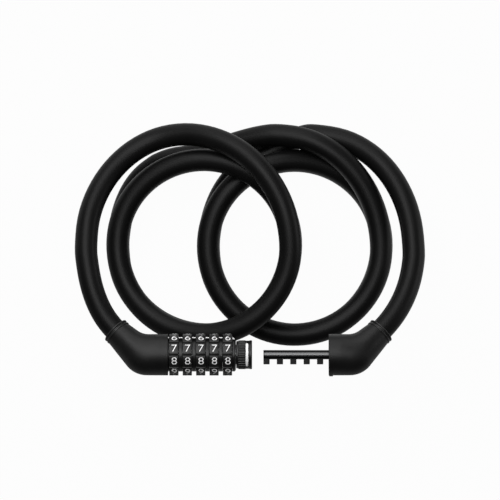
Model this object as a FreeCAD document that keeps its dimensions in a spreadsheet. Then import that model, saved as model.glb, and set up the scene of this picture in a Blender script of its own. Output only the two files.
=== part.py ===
"""Cable lock: a four and three quarter turn cable with a five dial head and a plug.

The lock lies flat. Z is up and is the axis of the coils, X runs along the dials from the head
to the plug, and the origin is on the ground under the middle of the lock. Lengths are in mm.
"""
import FreeCAD, Part
import math
import os
import re
import Sketcher

Vector = FreeCAD.Vector
Placement = FreeCAD.Placement
Rotation = FreeCAD.Rotation

# Driving sizes: word, value, meaning.
SIZES = [
    ("cable_dia", 12.7, "diameter of the vinyl cover"),
    ("core_dia", 6.0, "diameter of the steel core"),
    ("layer_gap", 0.6, "air between two layers of the coil"),
    ("floor_flat", 0.5, "height worn flat where the coil lies on the ground"),
    ("loop_radius", 49.1, "centre line of a full loop"),
    ("loop_shift", 51.3, "step from the left coil to the right one"),
    ("outer_rise", 14.59, "how far the outer loops rise above the full ones"),
    ("lean_rise", 6.2, "bottom of the dials above that turn's centre line"),
    ("lean_over", 0.4, "back of the dials behind that turn's centre line"),
    ("head_face", 45.7, "head cover's face left of the origin"),
    ("pull_out", 52.0, "travel of the plug"),
    ("elbow_roll", 20.0, "turn of both elbows towards the ground"),
    ("dial_radius", 11.65, "outside of a dial"),
    ("dial_width", 5.13, "length of a dial along the axis"),
    ("dial_gap", 2.39, "space between two dials"),
    ("dial_bevel", 0.35, "bevel on the edges of a dial"),
    ("grip_width", 1.1, "width of a grip groove"),
    ("grip_depth", 0.8, "depth of a grip groove"),
    ("face_gap", 0.68, "space between the head cover and the first dial"),
    ("key_width", 1.6, "width of the key between a dial and its gate ring"),
    ("key_height", 0.6, "height of that key"),
    ("gate_radius", 8.0, "outside of a gate ring"),
    ("gate_hollow", 6.0, "inside of a gate ring where a tooth stands"),
    ("land_width", 1.5, "length of the land that stops a tooth"),
    ("web_thick", 0.95, "thickness of a spacer's web"),
    ("rim_wall", 1.1, "wall of a spacer's rim"),
    ("nub_width", 1.0, "width of an index mark"),
    ("nub_angle", 53.0, "index marks, from straight up towards the coil"),
    ("end_width", 1.92, "length of the end collar"),
    ("end_chamfer", 0.75, "chamfer of the end collar"),
    ("tube_bore", 2.95, "bore radius of the core tube"),
    ("tube_radius", 4.5, "outside of the core tube under the dials"),
    ("barrel_radius", 5.7, "outside of the core tube under the set ring"),
    ("barrel_length", 9.0, "length of that thicker end"),
    ("tube_seat", 10.4, "core tube inside the head cover"),
    ("set_wall", 1.09, "wall of the code-set ring round the snap ring"),
    ("set_length", 8.9, "length of the code-set ring"),
    ("neck_length", 1.1, "smooth neck of the code-set ring"),
    ("knurl_length", 4.1, "knurled part of the code-set ring"),
    ("knurl_depth", 0.4, "depth of the knurl"),
    ("knurl_width", 0.6, "width of a knurl groove"),
    ("flange_length", 1.6, "end flange of the code-set ring"),
    ("snap_width", 0.7, "thickness of the snap ring"),
    ("snap_wall", 1.3, "radial wall of the snap ring"),
    ("snap_depth", 0.35, "depth of the snap ring's groove"),
    ("pin_radius", 2.6, "locking pin"),
    ("pin_length", 36.6, "locking pin in front of the plug cover"),
    ("pin_chamfer", 0.7, "chamfer of the locking pin's tip"),
    ("tooth_width", 3.5, "length of a tooth along the pin"),
    ("tooth_thick", 3.0, "thickness of a tooth"),
    ("tooth_height", 5.4, "tip of a tooth from the axis"),
    ("tooth_bevel", 0.5, "bevel on the corners of a tooth"),
    ("cover_radius", 11.6, "straight part of both covers"),
    ("straight_len", 10.1, "length of that straight part"),
    ("bend_radius", 13.7, "centre line of the elbow"),
    ("bend_angle", 47.0, "turn of the elbow"),
    ("waist_radius", 9.5, "elbow where its bend ends"),
    ("mouth_radius", 7.65, "elbow at the cable collar"),
    ("taper_len", 14.0, "from the bend's end to the collar's face"),
    ("lip_length", 2.2, "lip on the plug cover's face"),
    ("lip_height", 0.5, "height of that lip"),
    ("cup_gap", 0.35, "space round the code-set ring in the plug's hollow"),
    ("cup_depth", 9.7, "depth of that hollow"),
    ("insert_thick", 3.6, "metal insert behind the hollow"),
    ("spring_room", 7.6, "radius of the chamber for the clutch spring"),
    ("spring_depth", 6.5, "depth of that chamber"),
    ("spring_radius", 6.0, "clutch spring's centre line"),
    ("spring_wire", 0.9, "wire of the clutch spring"),
    ("collar_length", 2.6, "cable collar"),
    ("collar_flange", 0.8, "one flange of a cable collar"),
    ("collar_rise", 0.35, "flange of a cable collar above the cover's mouth"),
    ("collar_groove", 0.8, "depth of the collar's groove"),
    ("cable_seat", 12.0, "cable inside each cover"),
    ("ferrule_length", 5.8, "ferrule behind the cable's end"),
    ("ferrule_radius", 3.9, "outside of a ferrule"),
    ("core_length", 4.4, "bare steel core inside a ferrule"),
    ("cross_pin", 1.1, "radius of the cross pins in the tube and the insert"),
    ("cable_pin", 0.8, "radius of the cross pins in the ferrules"),
    ("strip_thick", 0.35, "thickness of the detent strip"),
    ("strip_width", 2.4, "width of the detent strip"),
    ("strip_floor", 3.75, "bottom of the detent groove from the axis"),
    ("bump_length", 0.8, "length of a detent bump"),
    ("bump_height", 0.32, "height of a detent bump"),
    ("notch_radius", 0.45, "radius of a detent notch"),
    ("side_gap", 0.2, "running gap between flat faces"),
    ("round_gap", 0.3, "gap between round faces that turn past each other"),
    ("turn_fit", 0.06, "running fit on the core tube"),
    ("seat_fit", 0.02, "fit of fixed pieces"),
    ("bore_fit", 0.1, "cable and ferrule in their bores"),
    ("seat_gap", 0.1, "plug against the end collar when it is shut"),
    ("slot_gap", 0.2, "tooth in its slot"),
]

# Counts.
DIALS = 5
DIGITS = 10
KNURLS = 36
SPRING_CURLS = 4
BEND_SECTIONS = 4

doc = FreeCAD.newDocument("cable_lock")
sheet = doc.addObject("Spreadsheet::Sheet", "sizes")
for line, (word, number, meaning) in enumerate(SIZES, start=1):
    sheet.set("A%d" % line, meaning)
    sheet.set("B%d" % line, str(number))
    sheet.setAlias("B%d" % line, word)
doc.recompute()
WORDS = {word for word, number, meaning in SIZES}

# Lengths that follow from the driving sizes, all measured from the head cover's face.
PITCH = "(dial_width + dial_gap)"
LAST_DIAL = "(face_gap + %d * %s)" % (DIALS - 1, PITCH)
END_START = "(%s + dial_width + side_gap)" % LAST_DIAL
STACK_END = "(%s + end_width)" % END_START
GATE_LENGTH = "(dial_width + dial_gap - 2 * side_gap - web_thick)"
RIM_WIDTH = "(dial_gap - 2 * side_gap)"
RIM_INNER = "(gate_radius + round_gap)"
RIM_OUTER = "(gate_radius + round_gap + rim_wall)"
SET_START = "(%s + side_gap)" % STACK_END
PLUG_FACE = "(%s + seat_gap + pull_out)" % STACK_END
FIRST_TOOTH = "(face_gap + dial_width / 2 - %s - seat_gap)" % STACK_END
SNAP_START = "(%s + barrel_length - 2 * snap_width)" % STACK_END
STRIP_END = "(%s + %s)" % (LAST_DIAL, GATE_LENGTH)
SNAP_ROOM = "(barrel_radius - snap_depth + snap_wall + turn_fit + round_gap)"
SET_RADIUS = "(%s + set_wall)" % SNAP_ROOM
CUP_RADIUS = "(%s + cup_gap)" % SET_RADIUS

# Place of the lock's axis: it lies on the cable's upper left turn, just outside it. That turn's
# height is in layers of the coil, and its centre in loop radii.
LEAN_LAYER = 3.548
CENTRE_SIDE = 0.0193
AXIS_SIDE = "((1 - %s) * loop_radius + dial_radius - lean_over)" % CENTRE_SIDE
AXIS_HEIGHT = ("(cable_dia / 2 - floor_flat + %s * (cable_dia + layer_gap) + dial_radius + lean_rise)"
               % (LEAN_LAYER - 1))


def full(text):
    """Put the sheet's name before each of its words in an expression."""
    return re.sub(r"[a-z_]+", lambda m: "sizes." + m.group(0) if m.group(0) in WORDS else m.group(0), text)


def value(text):
    """Number that an expression of the sheet's words stands for."""
    return float(sheet.evalExpression(full(text)))


def bind(thing, **sizes):
    """Tie properties of a feature to expressions."""
    for name, text in sizes.items():
        thing.setExpression(name, full(text))


def put(thing, x="0", y="0", z="0"):
    """Tie the place of a piece or a feature to expressions."""
    for axis, text in zip("xyz", (x, y, z)):
        thing.setExpression("Placement.Base." + axis, full(text))


def seat(piece, along):
    """Put a piece on the lock's axis, so far to the right of the head cover's face."""
    put(piece, "-head_face + " + along, "-" + AXIS_SIDE, AXIS_HEIGHT)


# Sketches and features.
def origin_item(body, role):
    return next(item for item in body.Origin.OriginFeatures if item.Role == role)


def sketch_on(body, name, role):
    sketch = body.newObject("Sketcher::SketchObject", name)
    sketch.AttachmentSupport = [(origin_item(body, role), "")]
    sketch.MapMode = "FlatFace"
    return sketch


def outline(sketch, corners):
    """Closed outline through corners, each a pair of expressions."""
    points = [Vector(value(a), value(b), 0) for a, b in corners]
    count = len(points)
    for n in range(count):
        sketch.addGeometry(Part.LineSegment(points[n], points[(n + 1) % count]), False)
    for n in range(count):
        sketch.addConstraint(Sketcher.Constraint("Coincident", n, 2, (n + 1) % count, 1))
    for n, (across, up) in enumerate(corners):
        for kind, text, number in (("DistanceX", across, points[n].x), ("DistanceY", up, points[n].y)):
            row = sketch.addConstraint(Sketcher.Constraint(kind, -1, 1, n, 1, number))
            sketch.setExpression("Constraints[%d]" % row, full(text))


def new_body(label):
    body = doc.addObject("PartDesign::Body", label)
    body.Label = label
    return body


def turned(label, corners):
    """Piece turned about its own X axis; corners are (along, out)."""
    body = new_body(label)
    profile = sketch_on(body, label + "_profile", "XY_Plane")
    outline(profile, corners)
    turn = body.newObject("PartDesign::Revolution", label + "_turned")
    turn.Profile = profile
    turn.ReferenceAxis = (profile, ["H_Axis"])
    turn.Angle = 360
    return body


def ring(label, inner, outer, length):
    """Plain ring or disc along X."""
    return turned(label, [("0", inner), ("0", outer), (length, outer), (length, inner)])


def block(body, name, start, size, add=False, turn=None):
    """Box added to a body or cut from it, from its low corner; turn is a rotation about X."""
    kind = "PartDesign::AdditiveBox" if add else "PartDesign::SubtractiveBox"
    box = body.newObject(kind, name)
    bind(box, Length=size[0], Width=size[1], Height=size[2])
    if turn is None:
        put(box, *start)
    else:
        spin = Rotation(Vector(1, 0, 0), turn)
        corner = Vector(*(value(text) for text in start))
        box.Placement = Placement(spin.multVec(corner), spin)
    return box


def drill(body, name, place, radius, depth):
    """Round hole along the Z axis of a place."""
    hole = body.newObject("PartDesign::SubtractiveCylinder", name)
    bind(hole, Radius=radius, Height=depth)
    hole.Placement = place
    return hole


def repeat_round(body, name, feature, count):
    pattern = body.newObject("PartDesign::PolarPattern", name)
    pattern.Originals = [feature]
    pattern.Axis = (origin_item(body, "X_Axis"), [""])
    pattern.Angle = 360
    pattern.Occurrences = count
    body.Tip = pattern


def repeat_along(body, name, feature, count, step):
    pattern = body.newObject("PartDesign::LinearPattern", name)
    pattern.Originals = [feature]
    pattern.Direction = (origin_item(body, "X_Axis"), [""])
    pattern.Occurrences = count
    bind(pattern, Length="%d * %s" % (count - 1, step))
    body.Tip = pattern


def aim(x, y, z, direction):
    """Place whose Z axis points along a direction."""
    return Placement(Vector(x, y, z), Rotation(Vector(0, 0, 1), direction))


# Dials, gate rings and spacers.
def make_dial(n):
    label = "dial_%d" % n
    bore = "gate_radius + turn_fit"
    body = turned(label, [
        ("0", bore), ("0", "dial_radius - dial_bevel"), ("dial_bevel", "dial_radius"),
        ("dial_width - dial_bevel", "dial_radius"), ("dial_width", "dial_radius - dial_bevel"),
        ("dial_width", bore)])
    grip = block(body, label + "_grip", ("0", "-grip_width / 2", "dial_radius - grip_depth"),
                 ("dial_width", "grip_width", "2 * grip_depth"))
    repeat_round(body, label + "_grips", grip, DIGITS)
    slot = block(body, label + "_slot", ("0", "-key_width / 2 - seat_fit", "gate_radius - key_height"),
                 ("dial_width", "key_width + 2 * seat_fit", "2 * key_height + turn_fit"))
    repeat_round(body, label + "_slots", slot, DIGITS)
    seat(body, "face_gap + %d * %s" % (n - 1, PITCH))
    return body


def make_gate_ring(n):
    label = "gate_ring_%d" % n
    bore = "tube_radius + turn_fit"
    land = "%s - land_width" % GATE_LENGTH
    body = turned(label, [
        ("0", "gate_hollow"), (land, "gate_hollow"), (land, bore), (GATE_LENGTH, bore),
        (GATE_LENGTH, "gate_radius"), ("0", "gate_radius")])
    block(body, label + "_gate", (land, "-gate_hollow", "-tooth_thick / 2 - slot_gap"),
          ("land_width", "gate_hollow", "tooth_thick + 2 * slot_gap"))
    notch = drill(body, label + "_notch", aim(value(land), value(bore), 0, Vector(1, 0, 0)),
                  "notch_radius", "land_width")
    repeat_round(body, label + "_notches", notch, DIGITS)
    block(body, label + "_key", ("key_height", "-key_width / 2", "gate_radius - key_height"),
          ("dial_width - 2 * key_height", "key_width", "2 * key_height"), add=True)
    seat(body, "face_gap + %d * %s" % (n - 1, PITCH))
    return body


def tooth_notch(body, length):
    """Opening in a ring on the core tube, where the teeth pass along the front."""
    block(body, body.Label + "_notch", ("0", "-gate_hollow", "-tooth_thick / 2 - slot_gap"),
          (length, "gate_hollow", "tooth_thick + 2 * slot_gap"))


def index_nub(body, start, length, root):
    """Raised index mark on a ring or on the head cover, as high as the dials."""
    block(body, body.Label + "_nub", (start, "-nub_width / 2", root),
          (length, "nub_width", "dial_radius - dial_bevel - " + root), add=True, turn=-value("nub_angle"))


def make_spacer(n):
    label = "spacer_%d" % n
    web = "%s - web_thick" % RIM_WIDTH
    bore = "tube_radius + seat_fit"
    body = turned(label, [
        (web, bore), (web, RIM_INNER), ("0", RIM_INNER), ("0", RIM_OUTER), (RIM_WIDTH, RIM_OUTER),
        (RIM_WIDTH, bore)])
    tooth_notch(body, RIM_WIDTH)
    index_nub(body, "0", RIM_WIDTH, RIM_INNER)
    seat(body, "face_gap + %d * %s + dial_width + side_gap" % (n - 1, PITCH))
    return body


def make_end_collar():
    web = "%s - dial_width" % GATE_LENGTH
    bore = "tube_radius + seat_fit"
    body = turned("end_collar", [
        (web, bore), (web, RIM_INNER), ("0", RIM_INNER), ("0", RIM_OUTER),
        ("end_width - end_chamfer", RIM_OUTER), ("end_width", RIM_OUTER + " - end_chamfer"),
        ("end_width", bore)])
    tooth_notch(body, "end_width")
    index_nub(body, "0", "end_width - end_chamfer", RIM_INNER)
    seat(body, END_START)
    return body


# Core tube and what sits on it.
def make_core_tube():
    end = "%s + barrel_length" % STACK_END
    snap_floor = "barrel_radius - snap_depth"
    snap_end = "%s + snap_width" % SNAP_START
    body = turned("core_tube", [
        ("-tube_seat", "tube_bore"), ("-tube_seat", "tube_radius"), (STACK_END, "tube_radius"),
        (STACK_END, "barrel_radius"), (SNAP_START, "barrel_radius"), (SNAP_START, snap_floor),
        (snap_end, snap_floor), (snap_end, "barrel_radius"), (end, "barrel_radius"),
        (end, "tube_bore")])
    block(body, "core_tube_slot", ("face_gap", "-2 * barrel_radius", "-tooth_thick / 2 - slot_gap"),
          (end + " - face_gap", "2 * barrel_radius", "tooth_thick + 2 * slot_gap"))
    block(body, "core_tube_groove", ("face_gap", "strip_floor", "-strip_width / 2 - seat_fit"),
          (STRIP_END + " - face_gap", "tube_radius", "strip_width + 2 * seat_fit"))
    hole = Placement(Vector(-value(TUBE_PIN_AT), 0, 0), roll).multiply(
        aim(0, 0, -value("2 * tube_radius"), Vector(0, 0, 1)))
    drill(body, "core_tube_hole", hole, "cross_pin + seat_fit", "4 * tube_radius")
    seat(body, "0")
    return body


def make_detent_strip():
    body = new_body("detent_strip")
    block(body, "strip_flat", ("0", "strip_floor + seat_fit", "-strip_width / 2"),
          (STRIP_END + " - face_gap - 2 * side_gap", "strip_thick", "strip_width"), add=True)
    first = "%s - land_width / 2 - bump_length / 2 - side_gap" % GATE_LENGTH
    bump = block(body, "strip_bump", (first, "strip_floor + seat_fit + strip_thick / 2", "-strip_width / 4"),
                 ("bump_length", "strip_thick / 2 + bump_height", "strip_width / 2"), add=True)
    repeat_along(body, "strip_bumps", bump, DIALS, PITCH)
    seat(body, "face_gap + side_gap")
    return body


def make_set_ring():
    """Code-set ring: neck, knurled part, smooth band for the white stripe and end flange."""
    bore = "barrel_radius + turn_fit"
    pocket = "%s - snap_width / 2 - %s" % (SNAP_START, SET_START)
    low = SET_RADIUS + " - knurl_depth"
    middle = SET_RADIUS + " - knurl_depth / 2"
    band = "neck_length + knurl_length"
    flange = "set_length - flange_length"
    body = turned("set_ring", [
        ("0", bore), ("0", low), ("neck_length", low), ("neck_length", SET_RADIUS), (band, SET_RADIUS),
        (band, middle), (flange, middle), (flange, SET_RADIUS), ("set_length - knurl_depth", SET_RADIUS),
        ("set_length", low), ("set_length", SNAP_ROOM), (pocket, SNAP_ROOM), (pocket, bore)])
    cut = block(body, "set_ring_cut", ("neck_length", "-knurl_width / 2", low),
                ("knurl_length", "knurl_width", "2 * knurl_depth"))
    repeat_round(body, "set_ring_cuts", cut, KNURLS)
    seat(body, SET_START)
    return body


def make_snap_ring():
    inner = "barrel_radius - snap_depth + seat_fit"
    width = "snap_width - 2 * seat_fit"
    body = ring("snap_ring", inner, "barrel_radius - snap_depth + snap_wall", width)
    block(body, "snap_ring_gap", ("0", "-2 * barrel_radius", "-tooth_thick / 2 - slot_gap"),
          (width, "2 * barrel_radius", "tooth_thick + 2 * slot_gap"))
    seat(body, SNAP_START + " + seat_fit")
    return body


# Tubes along a path of tangent arcs, for the cable and the spring.
def heading(degrees, slope):
    angle = math.radians(degrees)
    return Vector(math.cos(angle), math.sin(angle), slope).normalize()


def biarc(start, end):
    """Two tangent arcs between two stations (point, direction), as (from, corner, to)."""
    p, t = start
    q, u = end
    chord = q - p
    both = t + u
    a = both.dot(both) - 4
    b = -2 * chord.dot(both)
    c = chord.dot(chord)
    arm = -c / b if abs(a) < 1e-9 else (-b - math.sqrt(b * b - 4 * a * c)) / (2 * a)
    first = p + t * arm
    second = q - u * arm
    middle = (first + second) * 0.5
    return [(p, first, middle), (middle, second, q)]


def arc_edge(p, corner, q):
    """Arc from p to q whose tangents meet at the corner, with its radius."""
    t = (corner - p).normalize()
    u = (q - corner).normalize()
    half = t.getAngle(u) / 2
    if half < 1e-6:
        return Part.LineSegment(p, q).toShape(), math.inf
    radius = (corner - p).Length / math.tan(half)
    chord_middle = (p + q) * 0.5
    outward = (corner - chord_middle).normalize()
    top = corner - outward * (radius / math.cos(half) - radius)
    return Part.Arc(p, top, q).toShape(), radius


def path_through(stations):
    """Edges of a smooth path through stations, and the radius of each."""
    edges = []
    radii = []
    for start, end in zip(stations[:-1], stations[1:]):
        for leg in biarc(start, end):
            edge, radius = arc_edge(*leg)
            edges.append(edge)
            radii.append(radius)
    return edges, radii


def tube_along(edges, radius, name):
    """Round tube along a path, with its volume compared with section times length."""
    wire = Part.Wire(edges)
    first = edges[0]
    start = first.valueAt(first.FirstParameter)
    section = Part.Wire(Part.makeCircle(radius, start, first.tangentAt(first.FirstParameter)))
    tube = wire.makePipeShell([section], True, False)
    expected = math.pi * radius ** 2 * wire.Length
    print("%s: length %.1f mm, volume over expected %.4f" % (name, wire.Length, tube.Volume / expected))
    return tube


def least_gap(edges, dia, step):
    """Least gap of a tube to itself, on points a step apart, at least three diameters along."""
    points = []
    for edge in edges:
        points += edge.discretize(Number=max(2, int(edge.Length / step) + 1))[:-1]
    apart = int(3 * dia / step)
    least = math.inf
    for n, point in enumerate(points):
        for other in points[n + apart:]:
            distance = point.distanceToPoint(other)
            if distance < least:
                least, where = distance, point
    return least - dia, where


def solid_feature(label, shape, place=None):
    feature = doc.addObject("Part::Feature", label)
    feature.Label = label
    feature.Shape = shape
    if place is not None:
        feature.Placement = place
    return feature


def make_clutch_spring():
    """Coil spring that pushes the gate rings back; its stations are a quarter turn apart."""
    radius = value("spring_radius")
    length = value("spring_depth + face_gap - spring_wire - 2 * side_gap")
    rise = length / SPRING_CURLS
    stations = []
    for quarter in range(4 * SPRING_CURLS + 1):
        angle = math.radians(90 * quarter)
        along = rise * quarter / 4
        point = Vector(along, radius * math.cos(angle), radius * math.sin(angle))
        slope = Vector(rise / (2 * math.pi * radius), -math.sin(angle), math.cos(angle))
        stations.append((point, slope.normalize()))
    edges, radii = path_through(stations)
    wire = value("spring_wire")
    shape = tube_along(edges, wire / 2, "clutch spring")
    print("clutch spring: least gap %.2f mm" % least_gap(edges, wire, wire / 2)[0])
    start = value("-head_face - spring_depth + spring_wire / 2 + side_gap")
    place = Placement(Vector(start, -value(AXIS_SIDE), value(AXIS_HEIGHT)), Rotation())
    return solid_feature("clutch_spring", shape, place)


# Covers. Each is made in its own frame: the face at the origin, X along the axis into the
# cover, and the elbow bent towards Y. The cable leaves at the far end of the elbow.
EXIT_X = "(straight_len + bend_radius * sin(bend_angle) + taper_len * cos(bend_angle))"
EXIT_Y = "(bend_radius * (1 - cos(bend_angle)) + taper_len * sin(bend_angle))"
TUBE_PIN_AT = "(tube_seat - 2 * cross_pin)"
ROOT_PIN_AT = "(cup_depth + insert_thick / 2)"
CABLE_PIN_BACK = "(cable_seat + bore_fit + ferrule_length / 2)"
roll = Rotation(Vector(1, 0, 0), -value("elbow_roll"))
turn_back = Rotation(Vector(0, 1, 0), 180)
swing = Rotation(Vector(0, 0, 1), value("bend_angle"))
head_frame = Placement(Vector(value("-head_face"), -value(AXIS_SIDE), value(AXIS_HEIGHT)),
                       roll.multiply(turn_back))
plug_frame = Placement(Vector(value("-head_face + " + PLUG_FACE), -value(AXIS_SIDE), value(AXIS_HEIGHT)),
                       roll)
exit_frame = Placement(Vector(value(EXIT_X), value(EXIT_Y), 0), swing)
BACKWARDS = Rotation(Vector(0, 0, 1), Vector(-1, 0, 0))


def bend_section(body, name, x, y, angle, radius):
    """Round section of the elbow, square to its centre line."""
    section = sketch_on(body, name, "YZ_Plane")
    section.addGeometry(Part.Circle(Vector(0, 0, 0), Vector(0, 0, 1), value(radius)), False)
    section.addConstraint(Sketcher.Constraint("Coincident", 0, 3, -1, 1))
    row = section.addConstraint(Sketcher.Constraint("Radius", 0, value(radius)))
    section.setExpression("Constraints[%d]" % row, full(radius))
    turn = Rotation(Vector(0, 1, 0), value(angle))
    section.AttachmentOffset = Placement(Vector(value(y), 0, value(x)), turn)
    section.setExpression("AttachmentOffset.Base.x", full(y))
    section.setExpression("AttachmentOffset.Base.z", full(x))
    return section


def make_elbow(label):
    """Outer shape of a cover: straight part, bend and taper to the cable's collar."""
    body = new_body(label)
    face = bend_section(body, label + "_face", "0", "0", "0", "cover_radius")
    straight = body.newObject("PartDesign::Pad", label + "_straight")
    straight.Profile = face
    bind(straight, Length="straight_len")
    sections = []
    for n in range(BEND_SECTIONS + 1):
        share = n / BEND_SECTIONS
        angle = "bend_angle * %s" % share
        sections.append(bend_section(
            body, "%s_bend_%d" % (label, n),
            "straight_len + bend_radius * sin(%s)" % angle, "bend_radius * (1 - cos(%s))" % angle,
            angle, "cover_radius + (waist_radius - cover_radius) * %s" % share))
    back = "(taper_len - collar_length)"
    sections.append(bend_section(
        body, label + "_mouth",
        "straight_len + bend_radius * sin(bend_angle) + %s * cos(bend_angle)" % back,
        "bend_radius * (1 - cos(bend_angle)) + %s * sin(bend_angle)" % back,
        "bend_angle", "mouth_radius"))
    elbow = body.newObject("PartDesign::AdditiveLoft", label + "_elbow")
    elbow.Profile = sections[0]
    elbow.Sections = sections[1:]
    return body


def bore_exit(body, down):
    """Bores for the cable's end and its ferrule, and the hole of the ferrule's pin."""
    label = body.Label
    back = exit_frame.multiply(Placement(Vector(0, 0, 0), BACKWARDS))
    drill(body, label + "_cable_bore", back, "cable_dia / 2 + bore_fit", "cable_seat + bore_fit")
    drill(body, label + "_ferrule_bore", back, "ferrule_radius + bore_fit",
          "cable_seat + ferrule_length + 2 * bore_fit")
    drill(body, label + "_pin_hole", cable_pin_place(down, "waist_radius + round_gap"),
          "cable_pin + seat_fit", "waist_radius + round_gap + ferrule_radius + bore_fit")


def cable_pin_place(down, reach):
    """Place of a ferrule pin: it starts so far below the exit's axis and points up through it."""
    base = Vector(-value(CABLE_PIN_BACK), 0, down * value(reach))
    return exit_frame.multiply(Placement(base, Rotation(Vector(0, 0, 1), Vector(0, 0, -down))))


def cross_pin_place(at, down, reach):
    """Place of a pin across the cover's axis, from below."""
    return aim(value(at), 0, down * value(reach), Vector(0, 0, -down))


def make_head_cover():
    body = make_elbow("head_cover")
    drill(body, "head_tube_socket", aim(0, 0, 0, Vector(1, 0, 0)), "tube_radius + seat_fit",
          "tube_seat + seat_fit")
    drill(body, "head_spring_room", aim(0, 0, 0, Vector(1, 0, 0)), "spring_room", "spring_depth")
    drill(body, "head_cross_hole", cross_pin_place(TUBE_PIN_AT, 1, "2 * cover_radius"),
          "cross_pin + seat_fit", "2 * cover_radius + tube_radius + 2 * seat_fit")
    bore_exit(body, 1)
    block(body, "head_cover_nub", ("-face_gap + side_gap", "-nub_width / 2", "cover_radius - rim_wall"),
          ("face_gap", "nub_width", "rim_wall - dial_bevel"),
          add=True, turn=value("elbow_roll - nub_angle"))
    body.Placement = head_frame
    return body


def make_plug_cover():
    body = make_elbow("plug_cover")
    lip = body.newObject("PartDesign::AdditiveCylinder", "plug_lip")
    bind(lip, Radius="cover_radius + lip_height", Height="lip_length")
    lip.Placement = aim(0, 0, 0, Vector(1, 0, 0))
    drill(body, "plug_cup", aim(0, 0, 0, Vector(1, 0, 0)), CUP_RADIUS, "cup_depth + insert_thick")
    drill(body, "plug_cross_hole", cross_pin_place(ROOT_PIN_AT, -1, "2 * cover_radius"),
          "cross_pin + seat_fit", "2 * cover_radius")
    bore_exit(body, -1)
    body.Placement = plug_frame
    return body


def make_cable_collar(label, frame):
    """Two flanges with a groove between them, at the mouth of an elbow."""
    bore = "cable_dia / 2 + bore_fit"
    outer = "mouth_radius + collar_rise"
    floor = "mouth_radius + collar_rise - collar_groove"
    body = turned(label, [
        ("-collar_length", bore), ("-collar_length", outer), ("-collar_length + collar_flange", outer),
        ("-collar_length + collar_flange", floor), ("-collar_flange", floor),
        ("-collar_flange", outer), ("0", outer), ("0", bore)])
    body.Placement = frame.multiply(exit_frame)
    return body


def make_ferrule(label, frame, down):
    """Cap on the steel core, behind the cable's end."""
    bore = "core_dia / 2 + seat_fit"
    start = "-cable_seat - bore_fit / 2"
    floor = "-cable_seat - core_length - bore_fit"
    end = "-cable_seat - ferrule_length"
    body = turned(label, [
        (start, bore), (start, "ferrule_radius"), (end, "ferrule_radius"), (end, "0"), (floor, "0"),
        (floor, bore)])
    hole = Placement(Vector(-value(CABLE_PIN_BACK), 0, down * value("2 * ferrule_radius")),
                     Rotation(Vector(0, 0, 1), Vector(0, 0, -down)))
    drill(body, label + "_hole", hole, "cable_pin + seat_fit", "4 * ferrule_radius")
    body.Placement = frame.multiply(exit_frame)
    return body


def make_core_end(label, frame, down):
    """Bare end of the steel core inside a ferrule."""
    end = "-cable_seat - core_length"
    body = turned(label, [("-cable_seat", "0"), ("-cable_seat", "core_dia / 2"), (end, "core_dia / 2"),
                          (end, "0")])
    hole = Placement(Vector(-value(CABLE_PIN_BACK), 0, down * value("core_dia")),
                     Rotation(Vector(0, 0, 1), Vector(0, 0, -down)))
    drill(body, label + "_hole", hole, "cable_pin + seat_fit", "2 * core_dia")
    body.Placement = frame.multiply(exit_frame)
    return body


def make_pin(label, place, radius, length):
    """Plain cross pin along the Z axis of a place."""
    pin = doc.addObject("Part::Cylinder", label)
    pin.Label = label
    bind(pin, Radius=radius, Height=length)
    pin.Placement = place
    return pin


# Plug inside.
def make_plug_insert():
    length = "insert_thick"
    body = ring("plug_insert", "pin_radius + seat_fit", CUP_RADIUS + " - seat_fit", length)
    drill(body, "plug_insert_hole", aim(value("insert_thick / 2"), 0, -value(CUP_RADIUS), Vector(0, 0, 1)),
          "cross_pin + seat_fit", "2 * " + CUP_RADIUS)
    body.Placement = plug_frame.multiply(Placement(Vector(value("cup_depth"), 0, 0), Rotation()))
    return body


def make_locking_pin():
    """Pin with one tooth for each dial, along its front."""
    root = "cup_depth + insert_thick"
    body = turned("locking_pin", [
        ("-pin_length", "0"), ("-pin_length", "pin_radius - pin_chamfer"),
        ("-pin_length + pin_chamfer", "pin_radius"), (root, "pin_radius"), (root, "0")])
    left = "%s - tooth_width / 2" % FIRST_TOOTH
    right = "%s + tooth_width / 2" % FIRST_TOOTH
    profile = sketch_on(body, "tooth_profile", "XY_Plane")
    outline(profile, [
        (left, "-pin_radius / 2"), (left, "-tooth_height + tooth_bevel"),
        (left + " + tooth_bevel", "-tooth_height"), (right + " - tooth_bevel", "-tooth_height"),
        (right, "-tooth_height + tooth_bevel"), (right, "-pin_radius / 2")])
    tooth = body.newObject("PartDesign::Pad", "tooth")
    tooth.Profile = profile
    tooth.Midplane = True
    bind(tooth, Length="tooth_thick")
    repeat_along(body, "teeth", tooth, DIALS, PITCH)
    place = Placement(Vector(value(ROOT_PIN_AT), 0, 0), roll).multiply(
        aim(0, 0, -value(CUP_RADIUS), Vector(0, 0, 1)))
    drill(body, "locking_pin_hole", place, "cross_pin + seat_fit", "2 * " + CUP_RADIUS)
    seat(body, PLUG_FACE)
    return body


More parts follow.
